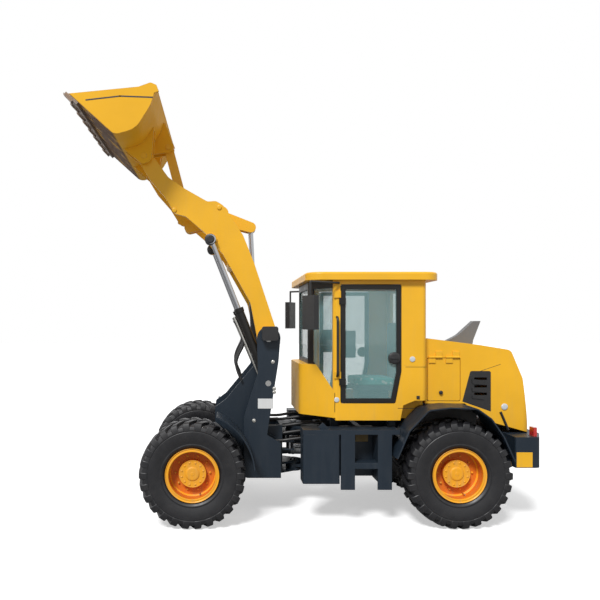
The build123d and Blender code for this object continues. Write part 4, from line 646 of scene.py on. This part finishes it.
def pad(name, look, spans, crown, channels, along):
    """A stuffed pad: a fine box drawn in at its edges, crowned along one axis, with sewn channels."""
    shape = bmesh.new()
    bmesh.ops.create_cube(shape, size=2)
    bmesh.ops.subdivide_edges(shape, edges=shape.edges, cuts=PAD_CUTS, use_grid_fill=True)
    across = [axis for axis in range(3) if axis != along]
    for point in shape.verts:
        p = [point.co[k] for k in range(3)]
        drawn_in = sum(abs(c) ** EDGE_POWER for c in p) ** (-1 / EDGE_POWER)
        for k in across:
            other = [c for c in across if c != k][0]
            p[k] *= 1 - WAIST * (1 - p[other] ** 4)
        q = [c * drawn_in for c in p]
        if p[along] > 0.5:
            swell = (1 - p[across[0]] ** 2) * (1 - p[across[1]] ** 2)
            groove_and_shadow_line = sum(math.exp(-((p[across[1]] - c) / CHANNEL_WIDTH) ** 2) for c in channels)
            q[along] += crown * swell - CHANNEL_DEPTH * groove_and_shadow_line * (1 - abs(p[across[0]]) ** 6)
        point.co = at(*[(a + b) / 2 + (b - a) / 2 * c for (a, b), c in zip(spans, q)])
    mesh = bpy.data.meshes.new(name)
    shape.to_mesh(mesh)
    shape.free()
    made = bpy.data.objects.new(name, mesh)
    bpy.context.scene.collection.objects.link(made)
    mesh.materials.append(M[look])
    mesh.shade_smooth()
    smooth = made.modifiers.new("Subdivision", "SUBSURF")
    smooth.levels = 1
    smooth.render_levels = 1
    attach(made, "rear_frame")
    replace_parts(made, "seat")


def seat_base():
    """Runners, a bellows of thin plates round a post, and the pan under the cushion."""
    back = SEAT_X0 + PAD

    def plate(inset, rear, z):
        form.block((back + rear, SEAT_X1 - inset), (SEAT_Y0 + inset, SEAT_Y1 - inset), z)

    form = Form()
    plate(50, 40, (SEAT_Z0, SEAT_Z0 + 60))
    plate(80, 70, (SEAT_Z0 + 60, SEAT_TOP - 150))
    plate(20, 10, (SEAT_TOP - 150, SEAT_TOP - 100))
    for k in range(BELLOWS):
        level = SEAT_Z0 + 80 + 24 * k
        plate(70, 60, (level, level + 12))
    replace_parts(form.make("seat_base", "black_plastic", "rear_frame", bevel=5), "seat")


cushion = ((SEAT_X0 + PAD + 4, SEAT_X1), (SEAT_Y0, SEAT_Y1), (SEAT_TOP - 96, SEAT_TOP - 6))
backrest = ((SEAT_X0, SEAT_X0 + PAD - 6), (SEAT_Y0 + 15, SEAT_Y1 - 15), (SEAT_TOP - 70, SEAT_Z1))
pad("seat_cushion", "seat_fabric", cushion, 0.22, (-0.5, 0.5), 2)
pad("seat_backrest", "back_fabric", backrest, 0.12, (-0.35, 0.25), 0)
seat_base()

# ---------------------------------------------------------------- fittings on the side faces
# How far each side face stands from the middle
CAB_Y = 740
HOOD_Y = 600
TOWER_Y = 533
BOOM_Y = 410
BARREL_Y = 462
TANK_Y = 850


def dark_strip(form, outline, y, side, width=5, proud=0.8):
    """A dark strip along (x, z) pairs on a side face, used for panel joints and for a painted shadow line.
    """
    for (x0, z0), (x1, z1) in zip(outline, outline[1:]):
        run = math.hypot(x1 - x0, z1 - z0)
        turn = Matrix.Rotation(-math.atan2(z1 - z0, x1 - x0), 3, "Y")
        centre = ((x0 + x1) / 2, side * (y + proud / 2), (z0 + z1) / 2)
        form.slanted(centre, (run + width, proud, width), turn)


def disc(form, x, z, radius, y, side, height=10):
    """A round cap standing on a side face."""
    profile = [
        (-2, radius), (height * 0.8, radius), (height, radius * 0.9),
        (height + 1, radius * 0.5), (height + 1, 0.1),
    ]
    form.turned(profile, (x, side * y, z), (0, side, 0), 32)


def between(side, low, high):
    """The span between two distances from the middle, on one side."""
    return sorted((side * low, side * high))


DOOR_LOCK = (-959, 1700)
GRAB_RAIL_X = -372
GRAB_RAIL_Z = (1515, 2122)
CAB_SEAMS = [
    ([(-349, 1145), (-349, 1340)], 5),
    ([(-1000, 1183), (-1300, 1183)], 5),
    ([(-1080, 1608), (-1290, 1608)], 4),
]


def cab_fittings(hand, side):
    door = f"door_{hand}"
    x, z = DOOR_LOCK
    lock = Form()
    disc(lock, x, z, 62, CAB_Y, side, 22)
    lock.slanted((x, side * (CAB_Y + 26), z), (78, 14, 26))
    lock.make(f"door_lock_{hand}", "black_plastic", door, bevel=3)
    pocket = Form()
    pocket.block((-578, -434), between(side, CAB_Y - 90, CAB_Y - 52), (1700, 1982))
    pocket.make(f"door_pocket_{hand}", "black_plastic", door, bevel=14, segments=3)
    low, high = GRAB_RAIL_Z
    route = [
        (CAB_Y - 4, high), (CAB_Y + 48, high), (CAB_Y + 52, high - 82),
        (CAB_Y + 52, low + 85), (CAB_Y + 48, low), (CAB_Y - 4, low),
    ]
    points = [(GRAB_RAIL_X, side * y, z) for y, z in route]
    rail = hose_mesh(f"grab_rail_{hand}", points, 13, "black_plastic")
    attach(rail, "rear_frame")
    lamps = Form()
    disc(lamps, -1148, 1689, 28, CAB_Y, side, 8)
    disc(lamps, -369, 1271, 26, CAB_Y, side, 8)
    lamps.make(f"side_lamps_{hand}", "lamp_clear", "rear_frame")
    seams = Form()
    for outline, width in CAB_SEAMS:
        dark_strip(seams, outline, CAB_Y, side, width)
    seams.make(f"cab_seams_{hand}", "black_paint", "rear_frame")
    latch = Form()
    latch.block((-1222, -1190), between(side, CAB_Y - 2, CAB_Y + 10), (1280, 1312))
    latch.make(f"cab_latch_{hand}", "black_plastic", "rear_frame", bevel=3)


for hand, side in SIDES:
    cab_fittings(hand, side)

SLOT_FRONT = -1817
SLOT_REAR = -1943
SLOT_FALL = 14             # the slots run down towards the rear
SLOTS = ((1424, 1472), (1343, 1384), (1269, 1304))     # lower and upper edge
STAY_TOP = (-2115, 1127)
STAY_FOOT = (-2196, 938)


def hood_fittings(hand, side):
    marks = Form()
    dark_strip(marks, [(-1817, 1526), (-2116, 1627)], HOOD_Y, side, 4)
    for low, high in SLOTS:
        outline = [
            (SLOT_FRONT, low), (SLOT_REAR, low - SLOT_FALL),
            (SLOT_REAR, high - SLOT_FALL), (SLOT_FRONT, high),
        ]
        marks.prism(outline, between(side, HOOD_Y + 1, HOOD_Y + 9))
    marks.make(f"hood_slots_{hand}", "black_plastic", "rear_frame", bevel=2)
    latch = Form()
    disc(latch, -1485, 1332, 20, HOOD_Y + 12, side)
    latch.make(f"hood_latch_{hand}", "black_plastic", f"hood_door_{hand}")
    lamp = Form()
    disc(lamp, -2157, 1181, 34, HOOD_Y - 6, side, 16)
    lamp.make(f"hood_lamp_{hand}", "lamp_clear", "rear_frame")
    stay = Form()
    (top_x, top_z), (foot_x, foot_z) = STAY_TOP, STAY_FOOT
    stay.bar((top_x, side * (HOOD_Y + 6), top_z), (foot_x, side * (HOOD_Y + 6), foot_z), 13)
    stay.make(f"hood_stay_{hand}", "black_plastic", "rear_frame")


for hand, side in SIDES:
    hood_fittings(hand, side)


def counterweight_plates():
    """The two blank plates low on the counterweight's sides."""
    form = Form()
    for _, side in SIDES:
        form.block((-2330, -2168), between(side, TANK_Y, TANK_Y + 4), (600, 752))
    form.make("counterweight_plates", "yellow_paint", "rear_frame", bevel=2)


counterweight_plates()

TOWER_BOLTS = ((271, 1648), (256, 1365), (256, 1328), (473, 1024))
BOOM_CAPS = ((841, 3312), (1327, 3284))
LIFT_PIPE = [
    (683, BARREL_Y, 2126), (610, BARREL_Y + 12, 1960),
    (500, BARREL_Y + 12, 1700), (415, BARREL_Y, 1496),
]
LIFT_HOSE = [(672, 2090), (600, 1990), (560, 1850), (650, 1690), (665, 1570), (600, 1440)]
LIFT_HOSES = ((360, 0), (330, 40))     # distance from the middle, and how much higher


def tower_fittings(hand, side):
    plate = Form()
    plate.block((267, 431), between(side, TOWER_Y, TOWER_Y + 3), (1152, 1258))
    plate.make(f"tower_plate_{hand}", "white_plate", "front_frame", bevel=2)
    bolts = Form()
    for x, z in TOWER_BOLTS:
        bolts.bolt((x, side * TOWER_Y, z), (0, side, 0), 15, 10)
    bolts.make(f"tower_bolts_{hand}", "zinc", "front_frame", bevel=1)
    caps = Form()
    for x, z in BOOM_CAPS:
        disc(caps, x, z, 26, BOOM_Y, side)
    caps.make(f"boom_caps_{hand}", "yellow_paint", "boom", bevel=1)
    points = [(x, side * y, z) for x, y, z in LIFT_PIPE]
    pipe = hose_mesh(f"lift_pipe_{hand}", points, 11, "zinc")
    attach(pipe, "lift_barrels")
    for k, (y, higher) in enumerate(LIFT_HOSES, 1):
        points = [(x, side * y, z + higher) for x, z in LIFT_HOSE]
        hose = hose_mesh(f"lift_hose_{hand}_{k}", points, 15)
        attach(hose, "lift_barrels")


for hand, side in SIDES:
    tower_fittings(hand, side)

ROD_EYE = (937, 2957)
ROD_EYE_CASING = [(-46, 57), (-44, 60), (44, 60), (46, 57), (47, 34), (53, 34), (53, 0.1)]
# A black strip along the bucket's side plate, painted as the shadow line that the reinforcing strip on its
# mouth edge casts.
BUCKET_SHADOW_LINE = [(2150, 4262), (1818, 4300), (1500, 4288)]


def arm_fittings(hand, side):
    """The black casing on the lift rod's eye, and a black strip along the bucket's side plate that is
    painted shadow under its reinforcing strip.
    """
    x, z = ROD_EYE
    eye = Form()
    eye.turned(ROD_EYE_CASING, (x, side * (BARREL_Y - 10), z), (0, side, 0), 36)
    eye.make(f"lift_rod_eye_{hand}", "black_plastic", "lift_rods", bevel=1)
    # A painted shadow line along the side plate, in black.
    groove_and_shadow_line = Form()
    dark_strip(groove_and_shadow_line, BUCKET_SHADOW_LINE, mm("bucket")[1][1], side, 14)
    groove_and_shadow_line.make(f"bucket_painted_shadow_line_{hand}", "black_plastic", "bucket")


for hand, side in SIDES:
    arm_fittings(hand, side)


def step_fittings(hand, side):
    stay = Form()
    turn = Matrix.Rotation(math.radians(-44), 3, "Y")
    stay.slanted((-299, side * (TANK_Y - 60), 921), (292, 8, 65), turn)
    stay.make(f"step_stay_{hand}", "slate_paint", "rear_frame", bevel=2)
    tan = Form()
    tan.block((-725, -590), between(side, 598, 604), (815, 925))
    tan.make(f"step_plate_{hand}", "tan_plate", "rear_frame", bevel=2)


for hand, side in SIDES:
    step_fittings(hand, side)

# ---------------------------------------------------------------- hoses across the articulation
FRAME_HOSES = 4


def frame_hose(hand, side, k):
    """A hose from the front frame to the rear frame, across the steering joint."""
    y = side * (150 + 55 * k)
    z = 1010 - 70 * k
    points = [
        (330, y, z - 20), (180, y, z - 30), (60, y + side * 12, z - 10),
        (-60, y + side * 16, z + 6), (-180, y + side * 6, z + 20), (-330, y, z + 10),
    ]
    hose = hose_mesh(f"frame_hose_{hand}_{k + 1}", points, 16)
    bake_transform(hose)


for hand, side in SIDES:
    for k in range(FRAME_HOSES):
        frame_hose(hand, side, k)

# ---------------------------------------------------------------- stage, light and camera
CAMERA = at(780, 7150, 2040)
FOCAL = 623.0              # in pixels of a 600-pixel-wide image
IMAGE_WIDTH = 600
SENSOR = 36
SHIFT = (0.125, 0.0417)
FLOOR_REACH = 60.0
FLOOR_GAP = 0.0005
FLOOR_SEEN = (0.78, 0.78, 0.78, 1)
FLOOR_LIT = (0.32, 0.32, 0.32, 1)
FLOOR_GLOW = 0.48
AMBIENT = 0.44
SUN_STRENGTH = 2.9
SUN_ANGLE = math.radians(14)
SUN_FROM = Vector((0.35, 0.75, 0.85))
WHITE = (1, 1, 1, 1)


def add_camera():
    data = bpy.data.cameras.new("camera")
    camera = bpy.data.objects.new("camera", data)
    bpy.context.scene.collection.objects.link(camera)
    data.sensor_width = SENSOR
    data.lens = SENSOR * FOCAL / IMAGE_WIDTH
    data.shift_x, data.shift_y = SHIFT
    data.clip_end = 200
    camera.location = CAMERA
    camera.rotation_euler = (math.radians(90), 0, math.radians(180))
    bpy.context.scene.camera = camera


def bare_tree(holder):
    """The holder's node tree, emptied."""
    holder.use_nodes = True
    for node in list(holder.node_tree.nodes):
        holder.node_tree.nodes.remove(node)
    return holder.node_tree


def floor_material():
    """A pale floor that the camera sees nearly white, and that throws less light on the object."""
    ground = bpy.data.materials.new("pale floor")
    tree = bare_tree(ground)
    output = tree.nodes.new("ShaderNodeOutputMaterial")
    seen = tree.nodes.new("ShaderNodeAddShader")
    diffuse = tree.nodes.new("ShaderNodeBsdfDiffuse")
    diffuse.inputs["Color"].default_value = FLOOR_SEEN
    glow = tree.nodes.new("ShaderNodeEmission")
    glow.inputs["Color"].default_value = WHITE
    glow.inputs["Strength"].default_value = FLOOR_GLOW
    plain = tree.nodes.new("ShaderNodeBsdfDiffuse")
    plain.inputs["Color"].default_value = FLOOR_LIT
    path = tree.nodes.new("ShaderNodeLightPath")
    pick = tree.nodes.new("ShaderNodeMixShader")
    tree.links.new(diffuse.outputs[0], seen.inputs[0])
    tree.links.new(glow.outputs[0], seen.inputs[1])
    tree.links.new(path.outputs["Is Camera Ray"], pick.inputs[0])
    tree.links.new(plain.outputs[0], pick.inputs[1])
    tree.links.new(seen.outputs[0], pick.inputs[2])
    tree.links.new(pick.outputs[0], output.inputs[0])
    return ground


def add_floor():
    mesh = bpy.data.meshes.new("floor")
    r = FLOOR_REACH
    mesh.from_pydata([(-r, -r, 0), (r, -r, 0), (r, r, 0), (-r, r, 0)], [], [(0, 1, 2, 3)])
    floor = bpy.data.objects.new("floor", mesh)
    bpy.context.scene.collection.objects.link(floor)
    floor.location.z = CAD_BOX[0][2] - FLOOR_GAP
    mesh.materials.append(floor_material())


def add_world():
    """Soft even light; the camera, gloss and glass see plain white."""
    world = bpy.data.worlds.new("world")
    bpy.context.scene.world = world
    tree = bare_tree(world)
    output = tree.nodes.new("ShaderNodeOutputWorld")
    soft = tree.nodes.new("ShaderNodeBackground")
    soft.inputs["Strength"].default_value = AMBIENT
    white = tree.nodes.new("ShaderNodeBackground")
    for background in (soft, white):
        background.inputs["Color"].default_value = WHITE
    path = tree.nodes.new("ShaderNodeLightPath")
    ray = path.outputs["Is Camera Ray"]
    for kind in ("Is Glossy Ray", "Is Transmission Ray"):
        either = tree.nodes.new("ShaderNodeMath")
        either.operation = "MAXIMUM"
        tree.links.new(ray, either.inputs[0])
        tree.links.new(path.outputs[kind], either.inputs[1])
        ray = either.outputs[0]
    pick = tree.nodes.new("ShaderNodeMixShader")
    tree.links.new(ray, pick.inputs[0])
    tree.links.new(soft.outputs[0], pick.inputs[1])
    tree.links.new(white.outputs[0], pick.inputs[2])
    tree.links.new(pick.outputs[0], output.inputs[0])


def add_key_light():
    data = bpy.data.lights.new("key", "SUN")
    data.energy = SUN_STRENGTH
    data.angle = SUN_ANGLE
    sun = bpy.data.objects.new("key", data)
    bpy.context.scene.collection.objects.link(sun)
    sun.rotation_euler = (-SUN_FROM).to_track_quat("-Z", "Y").to_euler()


add_camera()
add_floor()
add_world()
add_key_light()
bpy.context.scene.view_settings.view_transform = "Standard"
